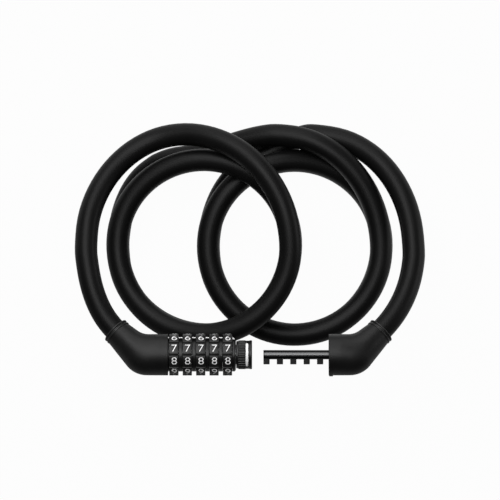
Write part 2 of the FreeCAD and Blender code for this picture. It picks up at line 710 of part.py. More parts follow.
# The cable's route. A coil starts with a wide outer loop and a full loop, and ends with the lowest
# turn, which leaves for the next coil. A station is a place in loop radii from its coil's centre, a
# heading in degrees, a height in layers, where the bottom layer is 1, and a slope.
TOP = 1 + value("outer_rise / loop_radius")
LEFT_COIL = [
    (-0.198, TOP, -1.2, 2.789, 0.435), (0.991, 0.017, -88.8, 4.36, -0.059),
    (-0.002, -1.003, 180.0, LEAN_LAYER, -0.36), (-0.997, 0.016, 90.9, 2.008, -0.037),
    (-0.002, 1.003, -0.1, 2.664, 0.201), (0.997, 0.017, -90.9, 3.206, -0.015),
    (0.012, -1.003, 178.7, 2.487, -0.381), (-0.992, 0.002, 88.7, 1.0, 0.0),
    (-0.558, 0.938, 30.4, 1.0, 0.0), (-0.255, 1.037, 6.2, 1.0, 0.0)]
RIGHT_COIL = [
    (-0.196, TOP - 0.003, 0.3, 1.933, 0.219), (0.992, 0.015, -88.7, 2.083, 0.0),
    (-0.009, -1.001, 180.2, 1.997, 0.0), (-1.0, 0.011, 90.6, 2.004, -0.015),
    (-0.007, 1.001, 0.1, 1.718, -0.22), (0.999, 0.015, -90.9, 1.0, 0.0),
    (0.001, -1.003, 179.4, 1.0, 0.0), (-0.994, -0.004, 89.2, 1.0, 0.0),
    (-0.439, 1.016, 25.2, 1.0, 0.0)]
FIRST_BEND = (-1.351, -0.003, 92.7, 3.785, -0.3)
LAST_TOP = (0.22, TOP - 0.003, -1.0, 1.119, 0.162)
LAST_BEND = (1.36, -0.028, -89.9, 3.386, 0.253)
LEFT_CENTRE = (-0.5224, CENTRE_SIDE)
RIGHT_DROP = 0.0047


def station(centre, x, y, degrees, layer, slope):
    """Station of the cable: a point and the direction there."""
    radius = value("loop_radius")
    height = value("cable_dia / 2 - floor_flat") + (layer - 1) * value("cable_dia + layer_gap")
    return Vector((centre[0] + x) * radius, (centre[1] + y) * radius, height), heading(degrees, slope)


def cover_exit(frame, outward):
    """Station at a collar's face, heading out of the cover or into it."""
    place = frame.multiply(exit_frame)
    return place.Base, place.Rotation.multVec(Vector(outward, 0, 0))


def seat_edge(start, end):
    return Part.LineSegment(start, end).toShape()


def make_cables():
    right_centre = (LEFT_CENTRE[0] + value("loop_shift / loop_radius"), LEFT_CENTRE[1] - RIGHT_DROP)
    turns = [station(LEFT_CENTRE, *row) for row in [FIRST_BEND] + LEFT_COIL]
    turns += [station(right_centre, *row) for row in RIGHT_COIL]
    last_top = station(right_centre, *LAST_TOP)
    last_bend = station(right_centre, *LAST_BEND)
    start = cover_exit(head_frame, 1)
    end = cover_exit(plug_frame, -1)
    seat_length = value("cable_seat")
    coil_edges, coil_radii = path_through([start] + turns + [last_top])
    tail_edges, tail_radii = path_through([last_top, last_bend, end])
    coil_edges.insert(0, seat_edge(start[0] - start[1] * seat_length, start[0]))
    tail_edges.append(seat_edge(end[0], end[0] + end[1] * seat_length))
    dia = value("cable_dia")
    length = sum(edge.Length for edge in coil_edges + tail_edges)
    gap, where = least_gap(coil_edges + tail_edges, dia, dia / 6)
    print("cable: length %.0f mm, least gap %.2f mm at %.0f %.0f %.0f" % (length, gap, *where))
    print("cable radii:", " ".join("%.0f" % radius for radius in coil_radii + tail_radii))
    coil = tube_along(coil_edges, dia / 2, "cable")
    tail = tube_along(tail_edges, dia / 2, "cable tail")
    span = coil.BoundBox
    ground = Part.makeBox(span.XLength, span.YLength, dia, Vector(span.XMin, span.YMin, -dia))
    solid_feature("cable", coil.cut(ground))
    solid_feature("cable_tail", tail)


# Build every piece.
for number in range(1, DIALS + 1):
    make_dial(number)
    make_gate_ring(number)
for number in range(1, DIALS):
    make_spacer(number)
make_end_collar()
make_core_tube()
make_detent_strip()
make_clutch_spring()
make_set_ring()
make_snap_ring()
make_head_cover()
make_plug_cover()
make_plug_insert()
make_locking_pin()
for side, frame, down in (("head", head_frame, 1), ("plug", plug_frame, -1)):
    make_cable_collar(side + "_collar", frame)
    make_ferrule(side + "_ferrule", frame, down)
    make_core_end(side + "_core_end", frame, down)
    make_pin(side + "_cable_pin", frame.multiply(cable_pin_place(down, "waist_radius - round_gap")),
             "cable_pin", "waist_radius - round_gap + ferrule_radius")
make_pin("head_tube_pin", head_frame.multiply(cross_pin_place(TUBE_PIN_AT, 1, "cover_radius - round_gap")),
         "cross_pin", "cover_radius - round_gap + tube_radius")
make_pin("plug_root_pin", plug_frame.multiply(cross_pin_place(ROOT_PIN_AT, -1, "cover_radius - 3 * round_gap")),
         "cross_pin", "cover_radius - 4 * round_gap + " + CUP_RADIUS)
make_cables()
doc.recompute()

# Check and write the pieces.
for item in doc.Objects:
    if {"Invalid", "Error"} & set(item.State):
        raise RuntimeError("%s failed: %s" % (item.Label, item.State))
pieces = [item for item in doc.Objects
          if item.TypeId in ("PartDesign::Body", "Part::Feature", "Part::Cylinder")]
os.makedirs("parts", exist_ok=True)
for item in pieces:
    shape = item.Shape
    if shape.isNull() or not shape.isValid() or not shape.Solids:
        raise RuntimeError("%s has no valid solid" % item.Label)
    print("%-16s solids %d, volume %.1f" % (item.Label, len(shape.Solids), shape.Volume))
for item in pieces:
    item.Shape.exportStep("parts/%s.step" % item.Label)
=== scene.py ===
# %% [markdown]
# # Cable lock, dressed
# The lock lies flat on a white table: two overlapping coils of black vinyl cable, a head with five
# number dials, and a plug with a toothed steel pin, pulled out. The solid model gives the place of
# every piece. This notebook gives each piece its final surface and finish.

# %% Load the frame
import math

import bmesh
import bpy
import numpy as np
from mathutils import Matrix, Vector


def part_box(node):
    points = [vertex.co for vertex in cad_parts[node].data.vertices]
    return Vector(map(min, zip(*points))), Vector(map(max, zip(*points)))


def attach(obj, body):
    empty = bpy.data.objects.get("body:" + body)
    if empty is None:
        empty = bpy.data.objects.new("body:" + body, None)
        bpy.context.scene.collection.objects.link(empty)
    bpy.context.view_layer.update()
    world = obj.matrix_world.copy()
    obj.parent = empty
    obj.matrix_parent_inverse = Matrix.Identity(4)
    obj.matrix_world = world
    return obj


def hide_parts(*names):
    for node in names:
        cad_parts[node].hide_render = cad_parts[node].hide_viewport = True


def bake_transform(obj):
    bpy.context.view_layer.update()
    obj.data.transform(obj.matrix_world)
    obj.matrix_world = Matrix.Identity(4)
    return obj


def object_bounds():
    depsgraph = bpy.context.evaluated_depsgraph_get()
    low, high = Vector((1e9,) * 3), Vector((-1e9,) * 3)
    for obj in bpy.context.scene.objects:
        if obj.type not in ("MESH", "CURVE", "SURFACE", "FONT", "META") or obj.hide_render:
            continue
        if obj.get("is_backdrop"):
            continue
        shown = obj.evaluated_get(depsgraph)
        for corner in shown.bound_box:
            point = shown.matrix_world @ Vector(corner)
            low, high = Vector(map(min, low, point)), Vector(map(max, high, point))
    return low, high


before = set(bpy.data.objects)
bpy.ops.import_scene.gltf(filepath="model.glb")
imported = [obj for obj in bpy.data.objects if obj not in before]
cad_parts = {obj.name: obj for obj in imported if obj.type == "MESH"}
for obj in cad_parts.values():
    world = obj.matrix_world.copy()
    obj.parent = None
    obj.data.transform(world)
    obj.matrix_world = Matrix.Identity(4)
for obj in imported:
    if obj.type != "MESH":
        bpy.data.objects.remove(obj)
cad_low, cad_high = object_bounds()
MM = 0.001

# %% [markdown]
# ## The camera first
# The photograph looks straight down. One pixel of it is 0.563 mm, because the half inch cable is
# 22.5 pixels thick. A camera far above the lock with a long lens keeps the strands' sizes alike at
# every height, as a product photograph does.

# %% Camera straight above
PIXEL = 0.5634 * MM
FRAME_PIXELS = 500
PHOTO_CENTRE = (0.25 * MM, -0.62 * MM)
CAMERA_HEIGHT = 6.0
SHARP_HEIGHT = 0.035


def add_object(name, data):
    piece = bpy.data.objects.new(name, data)
    bpy.context.collection.objects.link(piece)
    return piece


def make_camera():
    """Lens = sensor width times distance over the width seen at the height of the strands."""
    data = bpy.data.cameras.new("camera")
    data.sensor_width = 36
    data.lens = data.sensor_width * (CAMERA_HEIGHT - SHARP_HEIGHT) / (PIXEL * FRAME_PIXELS)
    data.clip_end = 20
    camera = add_object("camera", data)
    camera.location = (*PHOTO_CENTRE, CAMERA_HEIGHT)
    bpy.context.scene.camera = camera
    return camera


camera = make_camera()
print("lens", round(camera.data.lens), "mm")

# %% [markdown]
# ## Surfaces from grids
# Almost every piece here is a grid of points: rings of points along a line. Numpy works out all
# the points at once, and one helper joins neighbours into quads. The last ring joins the first, or
# both ends get a fan round their middle points.

# %% Mesh helpers
CORNER_STEPS = 4


def mesh_from(curve):
    """Mesh of a curve or a text, by way of an object that is removed again."""
    source = add_object(curve.name, curve)
    mesh = bpy.data.meshes.new_from_object(source)
    bpy.data.objects.remove(source)
    return mesh


def grid_quads(rows, columns, loop):
    """Corner numbers of the quads of a grid whose rows close on themselves: a point, the one below it
    in the next row, and the neighbours of both."""
    here = np.arange(rows * columns).reshape(rows, columns)
    below = np.roll(here, -1, axis=0)
    corners = [here, below, np.roll(below, -1, axis=1), np.roll(here, -1, axis=1)]
    return np.stack(corners, axis=-1)[:rows if loop else -1].reshape(-1, 4)


def ring_mesh(name, points, material=None, loop=False, sharp=35):
    """Closed surface through rings of points (rows, columns, 3); ends get a fan, a loop has none."""
    rows, columns = points.shape[:2]
    vertices = points.reshape(-1, 3)
    faces = grid_quads(rows, columns, loop).tolist()
    if not loop:
        count, end = rows * columns, (rows - 1) * columns
        faces += [[count, n, (n + 1) % columns] for n in range(columns)]
        faces += [[count + 1, end + (n + 1) % columns, end + n] for n in range(columns)]
        vertices = np.vstack([vertices, points[0].mean(0), points[-1].mean(0)])
    mesh = bpy.data.meshes.new(name)
    mesh.from_pydata(vertices.tolist(), [], faces)
    mesh.validate()
    shape = bmesh.new()
    shape.from_mesh(mesh)
    bmesh.ops.recalc_face_normals(shape, faces=shape.faces)
    shape.to_mesh(mesh)
    shape.free()
    mesh.polygons.foreach_set("use_smooth", np.ones(len(mesh.polygons), dtype=bool))
    mesh.set_sharp_from_angle(angle=math.radians(sharp))
    if material:
        mesh.materials.append(material)
    return add_object(name, mesh)


def soften(profile, radius, closed=True):
    """Rounds the corners of an outline of (along, out) points: each corner becomes a quadratic curve
    that starts and ends a radius away from it, or at a third of a shorter side."""
    points = np.asarray(profile, float)
    count = len(points)
    out = []
    for n in range(count):
        if not closed and n in (0, count - 1):
            out.append(points[n])
            continue
        here = points[n]
        start, end = (here + side / np.linalg.norm(side) * min(radius, np.linalg.norm(side) / 3)
                      for side in (points[n - 1] - here, points[(n + 1) % count] - here))
        for t in np.linspace(0, 1, CORNER_STEPS):
            out.append((1 - t) ** 2 * start + 2 * t * (1 - t) * here + t * t * end)
    return np.array(out)


# %% [markdown]
# ## One blank for all turned pieces
# Dials, rings, collars and covers are all rings round a line. A ring has a place along the line, a
# place beside it, the angle that the line has turned by, and a radius. A straight line makes turned
# pieces, and a line that bends makes the elbows of the covers.

# %% Rings round a line
RING_SIDES = 90


def ring_points(rings, angles, place, ripple=None):
    """Point of ring n at an angle: centre + radius * (cos * across + sin * up), where across is
    square to the line in its plane of bend. ripple adds to the radius, one value per ring and angle."""
    along, beside, bend, radius = (np.asarray(column, float)[:, None] for column in np.transpose(rings))
    reach = radius + (0 if ripple is None else ripple)
    x = along - reach * np.cos(angles) * np.sin(bend)
    y = beside + reach * np.cos(angles) * np.cos(bend)
    z = reach * np.sin(angles) + 0 * along
    return np.stack([x, y, z], axis=-1) @ place[:3, :3].T + place[:3, 3]


def straight_rings(profile):
    return [(along, 0, 0, out) for along, out in profile]


def turned_piece(name, profile, place, material, angles, ripple=None, sharp=35):
    """Closed outline of (along, out) points, turned round the line of a place."""
    points = ring_points(straight_rings(profile), angles, place, ripple)
    return ring_mesh(name, points, material, loop=True, sharp=sharp)


def turn_about(axis, degrees):
    """Rotation matrix, four by four, about the x, y or z axis."""
    c, s = math.cos(math.radians(degrees)), math.sin(math.radians(degrees))
    a, b = {"x": (1, 2), "y": (2, 0), "z": (0, 1)}[axis]
    matrix = np.eye(4)
    matrix[a, a], matrix[b, b], matrix[a, b], matrix[b, a] = c, c, -s, s
    return matrix


def move_to(x, y, z):
    matrix = np.eye(4)
    matrix[:3, 3] = (x, y, z)
    return matrix


def even_angles(count):
    return np.arange(count) * 2 * math.pi / count


# %% [markdown]
# ## Places taken from the solid model
# The solid model already says where each dial, spacer and pin sits, so these places are read from
# the boxes of its nodes.

# %% Places taken from the frame
def box(node):
    return (np.array(corner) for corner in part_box(node))


dial_low, dial_high = box("dial_1")
AXIS_Y, AXIS_Z = (dial_low[1:] + dial_high[1:]) / 2
DIAL_WIDTH = dial_high[0] - dial_low[0]
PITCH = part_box("dial_2")[0][0] - dial_low[0]
DIALS = 5
FACE_GAP = 0.68 * MM
DIAL_CLEAR = 0.2 * MM
HEAD_FACE = dial_low[0] - FACE_GAP
insert_low, insert_high = box("plug_insert")
CUP_DEPTH = 9.7 * MM
PLUG_FACE = insert_low[0] - CUP_DEPTH
ROLL = 20
HEAD_PLACE = move_to(HEAD_FACE, AXIS_Y, AXIS_Z) @ turn_about("x", -ROLL) @ turn_about("y", 180)
PLUG_PLACE = move_to(PLUG_FACE, AXIS_Y, AXIS_Z) @ turn_about("x", -ROLL)
print("axis at y %.2f, z %.2f mm" % (AXIS_Y / MM, AXIS_Z / MM))

# %% [markdown]
# ## The cable's route
# The cable leaves the head, makes a wide outer turn, a full turn and the lowest turn on the table,
# crosses to the right coil and does the same there, and ends in the plug. A few stations hold
# each turn, so the loops can be set against the photograph one place at a time.

# %% Stations of the route
# A station: x and y in loop radii from its coil's centre, heading in degrees, height in layers, slope.
CABLE = 12.7 * MM
LAYER = 13.3 * MM
FLOOR_FLAT = 0.5 * MM
LOOP = 49.1 * MM
TOP = 1 + 14.59 / 49.1
LEFT_COIL = [
    (-0.198, TOP, -1.2, 2.789, 0.435), (0.991, 0.017, -88.8, 4.36, -0.059),
    (-0.002, -1.003, 180.0, 3.548, -0.36), (-0.997, 0.016, 90.9, 2.008, -0.037),
    (-0.002, 1.003, -0.1, 2.664, 0.201), (0.997, 0.017, -90.9, 3.206, -0.015),
    (0.012, -1.003, 178.7, 2.487, -0.381), (-0.992, 0.002, 88.7, 1.0, 0.0),
    (-0.558, 0.938, 30.4, 1.0, 0.0), (-0.255, 1.037, 6.2, 1.0, 0.0)]
RIGHT_COIL = [
    (-0.196, TOP - 0.003, 0.3, 1.933, 0.219), (0.992, 0.015, -88.7, 2.083, 0.0),
    (-0.009, -1.001, 180.2, 1.997, 0.0), (-1.0, 0.011, 90.6, 2.004, -0.015),
    (-0.007, 1.001, 0.1, 1.718, -0.22), (0.999, 0.015, -90.9, 1.0, 0.0),
    (0.001, -1.003, 179.4, 1.0, 0.0), (-0.994, -0.004, 89.2, 1.0, 0.0), (-0.439, 1.016, 25.2, 1.0, 0.0)]
FIRST_BEND = (-1.351, -0.003, 92.7, 3.785, -0.3)
LAST_TOP = (0.22, TOP - 0.003, -1.0, 1.119, 0.162)
LAST_BEND = (1.36, -0.028, -89.9, 3.386, 0.253)
LEFT_CENTRE = (-0.5224, 0.0193)
RIGHT_CENTRE = (LEFT_CENTRE[0] + 51.3 / 49.1, LEFT_CENTRE[1] - 0.0047)


def station(centre, x, y, degrees, layer, slope):
    """Point and direction: the heading in the plane of the table, with a slope upwards."""
    angle = math.radians(degrees)
    direction = np.array([math.cos(angle), math.sin(angle), slope])
    height = CABLE / 2 - FLOOR_FLAT + (layer - 1) * LAYER
    return (np.array([(centre[0] + x) * LOOP, (centre[1] + y) * LOOP, height]),
            direction / np.linalg.norm(direction))


left_stations = [station(LEFT_CENTRE, *row) for row in [FIRST_BEND] + LEFT_COIL]
right_stations = [station(RIGHT_CENTRE, *row) for row in RIGHT_COIL + [LAST_TOP, LAST_BEND]]
print("stations:", len(left_stations), "in the left coil,", len(right_stations), "in the right one")

# %% [markdown]
# ## The cable starts and ends in the covers
# Both covers have the same elbow: a straight part, a bend of 47 degrees, and a taper to the mouth.
# The cable's line needs only the middle of the mouth and the direction there.

# %% Shape of the covers' elbow
STRAIGHT = 10.1 * MM
BEND_RADIUS = 13.7 * MM
BEND = math.radians(47)
TAPER = 14.0 * MM
COVER_RADIUS = 11.6 * MM
MOUTH_RADIUS = 7.65 * MM
COLLAR_LENGTH = 2.6 * MM
CABLE_SEAT = 12.0 * MM
EXIT_X = STRAIGHT + BEND_RADIUS * math.sin(BEND) + TAPER * math.cos(BEND)
EXIT_Y = BEND_RADIUS * (1 - math.cos(BEND)) + TAPER * math.sin(BEND)


def exit_station(place):
    """Centre of a collar's face and the direction out of the cover."""
    point = place @ np.array([EXIT_X, EXIT_Y, 0, 1])
    return point[:3], place[:3, :3] @ np.array([math.cos(BEND), math.sin(BEND), 0])


print("mouth of a cover %.1f mm along and %.1f mm beside its axis" % (EXIT_X / MM, EXIT_Y / MM))

# %% [markdown]
# ## One spline
# A cubic curve joins two stations, and the points on all these curves are the control points of
# one NURBS spline, so the line is smooth everywhere.

# %% One spline through the whole route
POINTS_PER_LEG = 6
SPLINE_STEPS = 4
APART = 3 * CABLE


def curve_between(start, end, count):
    """Cubic through two stations. Its speed at both ends is chord / cos(turn / 4) squared, which
    makes a quarter of a circle where the stations ask for one."""
    (p, t), (q, u) = start, end
    chord = np.linalg.norm(q - p)
    speed = chord / math.cos(math.acos(np.clip(t @ u, -1, 1)) / 4) ** 2
    s = (np.arange(count) / count)[:, None]
    return ((2 * s ** 3 - 3 * s ** 2 + 1) * p + (s ** 3 - 2 * s ** 2 + s) * speed * t
            + (3 * s ** 2 - 2 * s ** 3) * q + (s ** 3 - s ** 2) * speed * u)


def route_points():
    """Control points: each point of the cubics moved out by an eighth of its second difference,
    because a NURBS spline of order 3 cuts inside its control points by as much."""
    head_exit, head_out = exit_station(HEAD_PLACE)
    plug_exit, plug_out = exit_station(PLUG_PLACE)
    stations = [(head_exit, head_out), *left_stations, *right_stations, (plug_exit, -plug_out)]
    legs = [curve_between(a, b, POINTS_PER_LEG) for a, b in zip(stations[:-1], stations[1:])]
    seat = np.array([[CABLE_SEAT], [CABLE_SEAT / 2]])
    points = np.vstack([head_exit - seat * head_out, *legs, plug_exit, plug_exit - seat[::-1] * plug_out])
    bulge = np.zeros_like(points)
    bulge[1:-1] = (points[:-2] - 2 * points[1:-1] + points[2:]) / 8
    return points - bulge, stations[-3][0]


def spline_line(points):
    """Points along a NURBS spline of order 3 that starts and ends on its end points."""
    curve = bpy.data.curves.new("route", "CURVE")
    curve.dimensions = "3D"
    spline = curve.splines.new("NURBS")
    spline.points.add(len(points) - 1)
    spline.points.foreach_set("co", np.column_stack([points, np.ones(len(points))]).ravel())
    spline.order_u = 3
    spline.use_endpoint_u = True
    spline.resolution_u = SPLINE_STEPS
    mesh = mesh_from(curve)
    line = np.empty(3 * len(mesh.vertices))
    mesh.vertices.foreach_get("co", line)
    return line.reshape(-1, 3)


control, split_point = route_points()
line = spline_line(control)
steps = np.linalg.norm(np.diff(line, axis=0), axis=1)
run = np.concatenate([[0], np.cumsum(steps)])
split = int(np.argmin(np.linalg.norm(line - split_point, axis=1)))
print("cable %.3f m along its line, coil %.3f m of it" % (run[-1], run[split]))


def least_gap(points, along):
    """Least distance between points further APART along the line, less a diameter."""
    distance = np.linalg.norm(points[:, None] - points[None], axis=2)
    distance[np.abs(along[:, None] - along[None]) < APART] = 1
    return distance.min() - CABLE


print("least gap between strands %.2f mm" % (least_gap(line, run) / MM))

# %% [markdown]
# ## The vinyl tube
# The cover of the cable is a soft vinyl hose, so the piece is a tube of round rings along the line.
# A tube needs a direction "across" at each point that doesn't spin. The cable never stands upright,
# so the level direction square to it serves everywhere. Where the coil lies on the table it is
# pressed flat. Each vertex also keeps its place on the straightened cable, so that the vinyl's grain
# follows the cable round its turns.

# %% Tube along the line
SIDES = 40


def level_frames(points):
    """Tangent by central differences; across = tangent x vertical; up = tangent x across."""
    tangent = np.gradient(points, axis=0)
    tangent /= np.linalg.norm(tangent, axis=1)[:, None]
    across = np.cross(tangent, [0, 0, 1.0])
    across /= np.linalg.norm(across, axis=1)[:, None]
    return across, np.cross(tangent, across)


def make_tube(name, first, last):
    """Rings of radius CABLE / 2 round the line from one of its points to another."""
    part = slice(first, last + 1)
    angles = even_angles(SIDES)[:, None]
    cosine, sine = np.cos(angles), np.sin(angles)
    points = line[part, None] + CABLE / 2 * (across[part, None] * cosine + up[part, None] * sine)
    points[..., 2] = np.maximum(points[..., 2], 0)
    piece = ring_mesh(name, points)
    flat = np.broadcast_arrays(run[part, None], cosine.T * CABLE / 2, sine.T * CABLE / 2)
    ends = [(run[first], 0, 0), (run[last], 0, 0)]
    skin = np.vstack([np.stack(flat, axis=-1).reshape(-1, 3), ends])
    place = piece.data.attributes.new("skin", "FLOAT_VECTOR", "POINT")
    place.data.foreach_set("vector", skin.ravel())
    return piece


across, up = level_frames(line)
coil = make_tube("vinyl_coil", 0, split)
tail = make_tube("vinyl_tail", split, len(line) - 1)
print("vinyl:", len(coil.data.polygons) + len(tail.data.polygons), "faces")

# %% [markdown]
# ## Materials written as sums
# A material is a graph of nodes, but most of it is arithmetic: this much noise, plus that much of a
# mask. A small class wraps a node's output, so that a sum in Python adds the Math nodes itself.

# %% Shader maths
class Value:
    """A node socket that takes part in sums: each operation adds one Math node."""

    def __init__(self, shader, socket):
        self.shader, self.socket = shader, socket

    def maths(self, operation, other, flip=False):
        pair = [other, self] if flip else [self, other]
        return self.shader.node("Math", dict(enumerate(pair)), operation=operation)

    def __add__(self, other):
        return self.maths("ADD", other)

    def __sub__(self, other):
        return self.maths("SUBTRACT", other)

    def __rsub__(self, other):
        return self.maths("SUBTRACT", other, True)

    def __mul__(self, other):
        return self.maths("MULTIPLY", other)

    __radd__, __rmul__ = __add__, __mul__

    def above(self, low, high):
        """0 below low, 1 above high, smooth between."""
        inputs = {"Value": self, "From Min": low, "From Max": high}
        return self.shader.node("MapRange", inputs, interpolation_type="SMOOTHSTEP")


class Shader:
    """A material's nodes, made by one method: type, values or links of its sockets, then settings."""

    def __init__(self, name):
        self.material = bpy.data.materials.new(name)
        self.material.use_nodes = True
        self.tree = self.material.node_tree
        self.tree.nodes.clear()
        self.output = self.tree.nodes.new("ShaderNodeOutputMaterial")

    def node(self, kind, inputs=None, out=0, **settings):
        node = self.tree.nodes.new("ShaderNode" + kind)
        for name, setting in settings.items():
            setattr(node, name, setting)
        for name, given in (inputs or {}).items():
            if isinstance(given, Value):
                self.tree.links.new(given.socket, node.inputs[name])
            else:
                node.inputs[name].default_value = given
        return Value(self, node.outputs[out])

    def place(self):
        return self.node("TexCoord", out="Object")

    def stretch(self, vector, scale):
        return self.node("Mapping", {"Vector": vector, "Scale": scale}, vector_type="POINT")

    def noise(self, vector, scale, detail=2.0, rough=0.5):
        inputs = {"Vector": vector, "Scale": scale, "Detail": detail, "Roughness": rough}
        return self.node("TexNoise", inputs)

    def mix(self, amount, dark, light):
        return self.node("Mix", {"Factor": amount, "A": dark, "B": light}, "Result", data_type="RGBA")

    def attribute(self, name, out="Fac"):
        return self.node("Attribute", out=out, attribute_name=name)

    def bump(self, height, distance, strength):
        return self.node("Bump", {"Height": height, "Distance": distance, "Strength": strength})

    def finish(self, **sockets):
        """Principled surface; a socket's name has spaces where the keyword has underscores."""
        inputs = {name.replace("_", " "): given for name, given in sockets.items()}
        surface = self.node("BsdfPrincipled", inputs)
        self.tree.links.new(surface.socket, self.output.inputs["Surface"])
        return self.material


def grey(level, tint=0.0):
    """Linear colour of a level, a little bluer for a positive tint."""
    return (level * (1 - tint), level, level * (1 + tint), 1)


# %% [markdown]
# ## Black vinyl
# The cable's cover is extruded soft vinyl: almost black, with a satin shine that isn't quite even.
# Long faint waves come from the steel strands under it, and a fine skin breaks up the reflection.
# All of it reads the straightened place of each point, so it stays on the cable when it bends.

# %% Vinyl material
def vinyl():
    shader = Shader("vinyl")
    skin = shader.attribute("skin", "Vector")
    streaks = shader.noise(shader.stretch(skin, (60, 900, 900)), 1.0, 3.0)
    grain = shader.noise(skin, 5200, 2.0)
    cloud = shader.noise(skin, 55, 3.0)
    scuffs = shader.noise(shader.stretch(skin, (220, 1500, 1500)), 1.0, 4.0, 0.6).above(0.62, 0.78)
    colour = shader.mix(cloud, grey(0.0025), grey(0.0045))
    worn = shader.mix(scuffs * 0.25, colour, grey(0.012))
    roughness = 0.36 + cloud * 0.08 + streaks * 0.06 + scuffs * 0.06
    relief = streaks * 0.6 + grain * 0.3
    return shader.finish(Base_Color=worn, Roughness=roughness, Normal=shader.bump(relief, 0.06 * MM, 0.8),
                         Specular_IOR_Level=0.12)


VINYL = vinyl()
for piece in (coil, tail):
    piece.data.materials.append(VINYL)

# %% [markdown]
# ## Moulded plastic, metals and paint
# The covers are moulded with a fine spark texture, the dials and rings are smoother, and the digits
# are filled with white paint. The metal pieces differ in how fine their tool marks are, so one
# function makes them all. The pin is plated black; its colour has a painted highlight along its
# top and painted shade on its sides and teeth.

# %% Moulded plastic and metals
def moulded(name, low, high, rough, texture):
    """Moulded black plastic: fine spark texture, slow change of shine and faint pale dust in scratches."""
    shader = Shader(name)
    place = shader.place()
    spark = shader.noise(place, 3000, 2.0, 0.6)
    cloud = shader.noise(place, 120, 3.0)
    scratch = shader.noise(shader.stretch(place, (300, 2600, 2600)), 1.0, 3.0, 0.7).above(0.64, 0.76)
    colour = shader.mix(cloud, grey(low), grey(high))
    return shader.finish(Base_Color=shader.mix(scratch * 0.3, colour, grey(high * 2.2)),
                         Roughness=rough + cloud * 0.1 + scratch * 0.08,
                         Normal=shader.bump(spark, texture * MM, 0.5), Specular_IOR_Level=0.24)


def metal(name, level, rough, lines, stretch=(200, 4200, 4200), tooth=None):
    """Turned or drawn metal: fine lines one way and slow change of shine. tooth, where given, is the
    level of painted shade on the pin's sides and teeth; where the mesh's highlight value is 1 the
    colour keeps its level, a painted highlight along the top."""
    shader = Shader(name)
    place = shader.place()
    fine = shader.noise(shader.stretch(place, stretch), 1.0, 3.0)
    cloud = shader.noise(place, 260, 3.0)
    colour = shader.mix(cloud, grey(level * 0.86, 0.01), grey(level, 0.01))
    roughness = rough + cloud * 0.08 + fine * 0.06
    metallic = 1.0
    if tooth is not None:
        milled, painted_highlight = shader.attribute("tooth"), shader.attribute("painted_highlight")
        # Painted highlight along the pin's top and painted shade on its sides and teeth: the colour is
        # bright only where the mesh marks the top.
        colour = shader.mix(painted_highlight, grey(tooth), colour)
        roughness = roughness + milled * 0.15
        metallic = 1.0 - milled * 0.9
    return shader.finish(Base_Color=colour, Metallic=metallic, Roughness=roughness,
                         Normal=shader.bump(fine, lines * MM, 0.4), Specular_IOR_Level=0.1)


def paint(name, level):
    """White filling paint, a little uneven."""
    shader = Shader(name)
    cloud = shader.noise(shader.place(), 900, 2.0)
    return shader.finish(Base_Color=shader.mix(cloud, grey(level * 0.9), grey(level)),
                         Roughness=0.5 + cloud * 0.1)


COVER = moulded("cover_plastic", 0.003, 0.005, 0.4, 0.03)
DIAL = moulded("dial_plastic", 0.006, 0.010, 0.3, 0.02)
RING = moulded("ring_plastic", 0.005, 0.008, 0.26, 0.012)
COLLAR = moulded("collar_plastic", 0.010, 0.016, 0.3, 0.01)
WHITE = paint("white_paint", 0.9)
STEEL = metal("plated_steel", 0.66, 0.2, 0.01)
# The 0.007 level is painted shade for the pin's sides and teeth.
PIN_STEEL = metal("black_nickel", 0.085, 0.24, 0.01, tooth=0.007)
ZINC = metal("cast_zinc", 0.52, 0.36, 0.02, (1500, 1500, 1500))
SPRING_STEEL = metal("spring_steel", 0.44, 0.3, 0.01)
FERRULE = metal("ferrule_metal", 0.58, 0.34, 0.015)
ROPE = metal("rope_steel", 0.42, 0.38, 0.02)
print("materials:", ", ".join(sorted(material.name for material in bpy.data.materials)))

# %% [markdown]
# ## Covers
# The head cover and the plug cover are the same moulding seen from two sides: a round straight
# part, an elbow that narrows as it turns, and a mouth for the cable. One closed surface does the
# whole piece: it starts at the bottom of the hollow in the face, comes out over the
# rounded rim, follows the elbow, and goes back in at the mouth to the bottom of the cable's bore.
# The two edges of the elbow that the photograph shows are drawn as lines, and each ring reaches them.

# %% Elbow surface
BORE_FIT = 0.1 * MM
RIM_ROUND = 0.45 * MM
LINE_START = 3.6 * MM
SOFT_REACH = 10.0 * MM
CORNER_X = STRAIGHT + BEND_RADIUS * math.tan(BEND / 2)
MOUTH_X = EXIT_X - COLLAR_LENGTH * math.cos(BEND)
MOUTH_Y = EXIT_Y - COLLAR_LENGTH * math.sin(BEND)
COVER_SIDES = 96
BEND_STEPS = 32
TAPER_STEPS = 8
TAPER_POWER = 1.3
OUTLINE_REACH = 20 * MM
ARC_STEPS = 24
INNER_TAPER = math.radians(9.5)
OUTER_TAPER = math.radians(6.0)
INNER_FILLET = 10.0 * MM
OUTER_FILLET = 14.0 * MM
BEAD_RISE = 0.55 * MM
BEAD_TURN = math.radians(20)
BEAD_EDGES = (0.4 * MM, 2.2 * MM, 2.6 * MM)


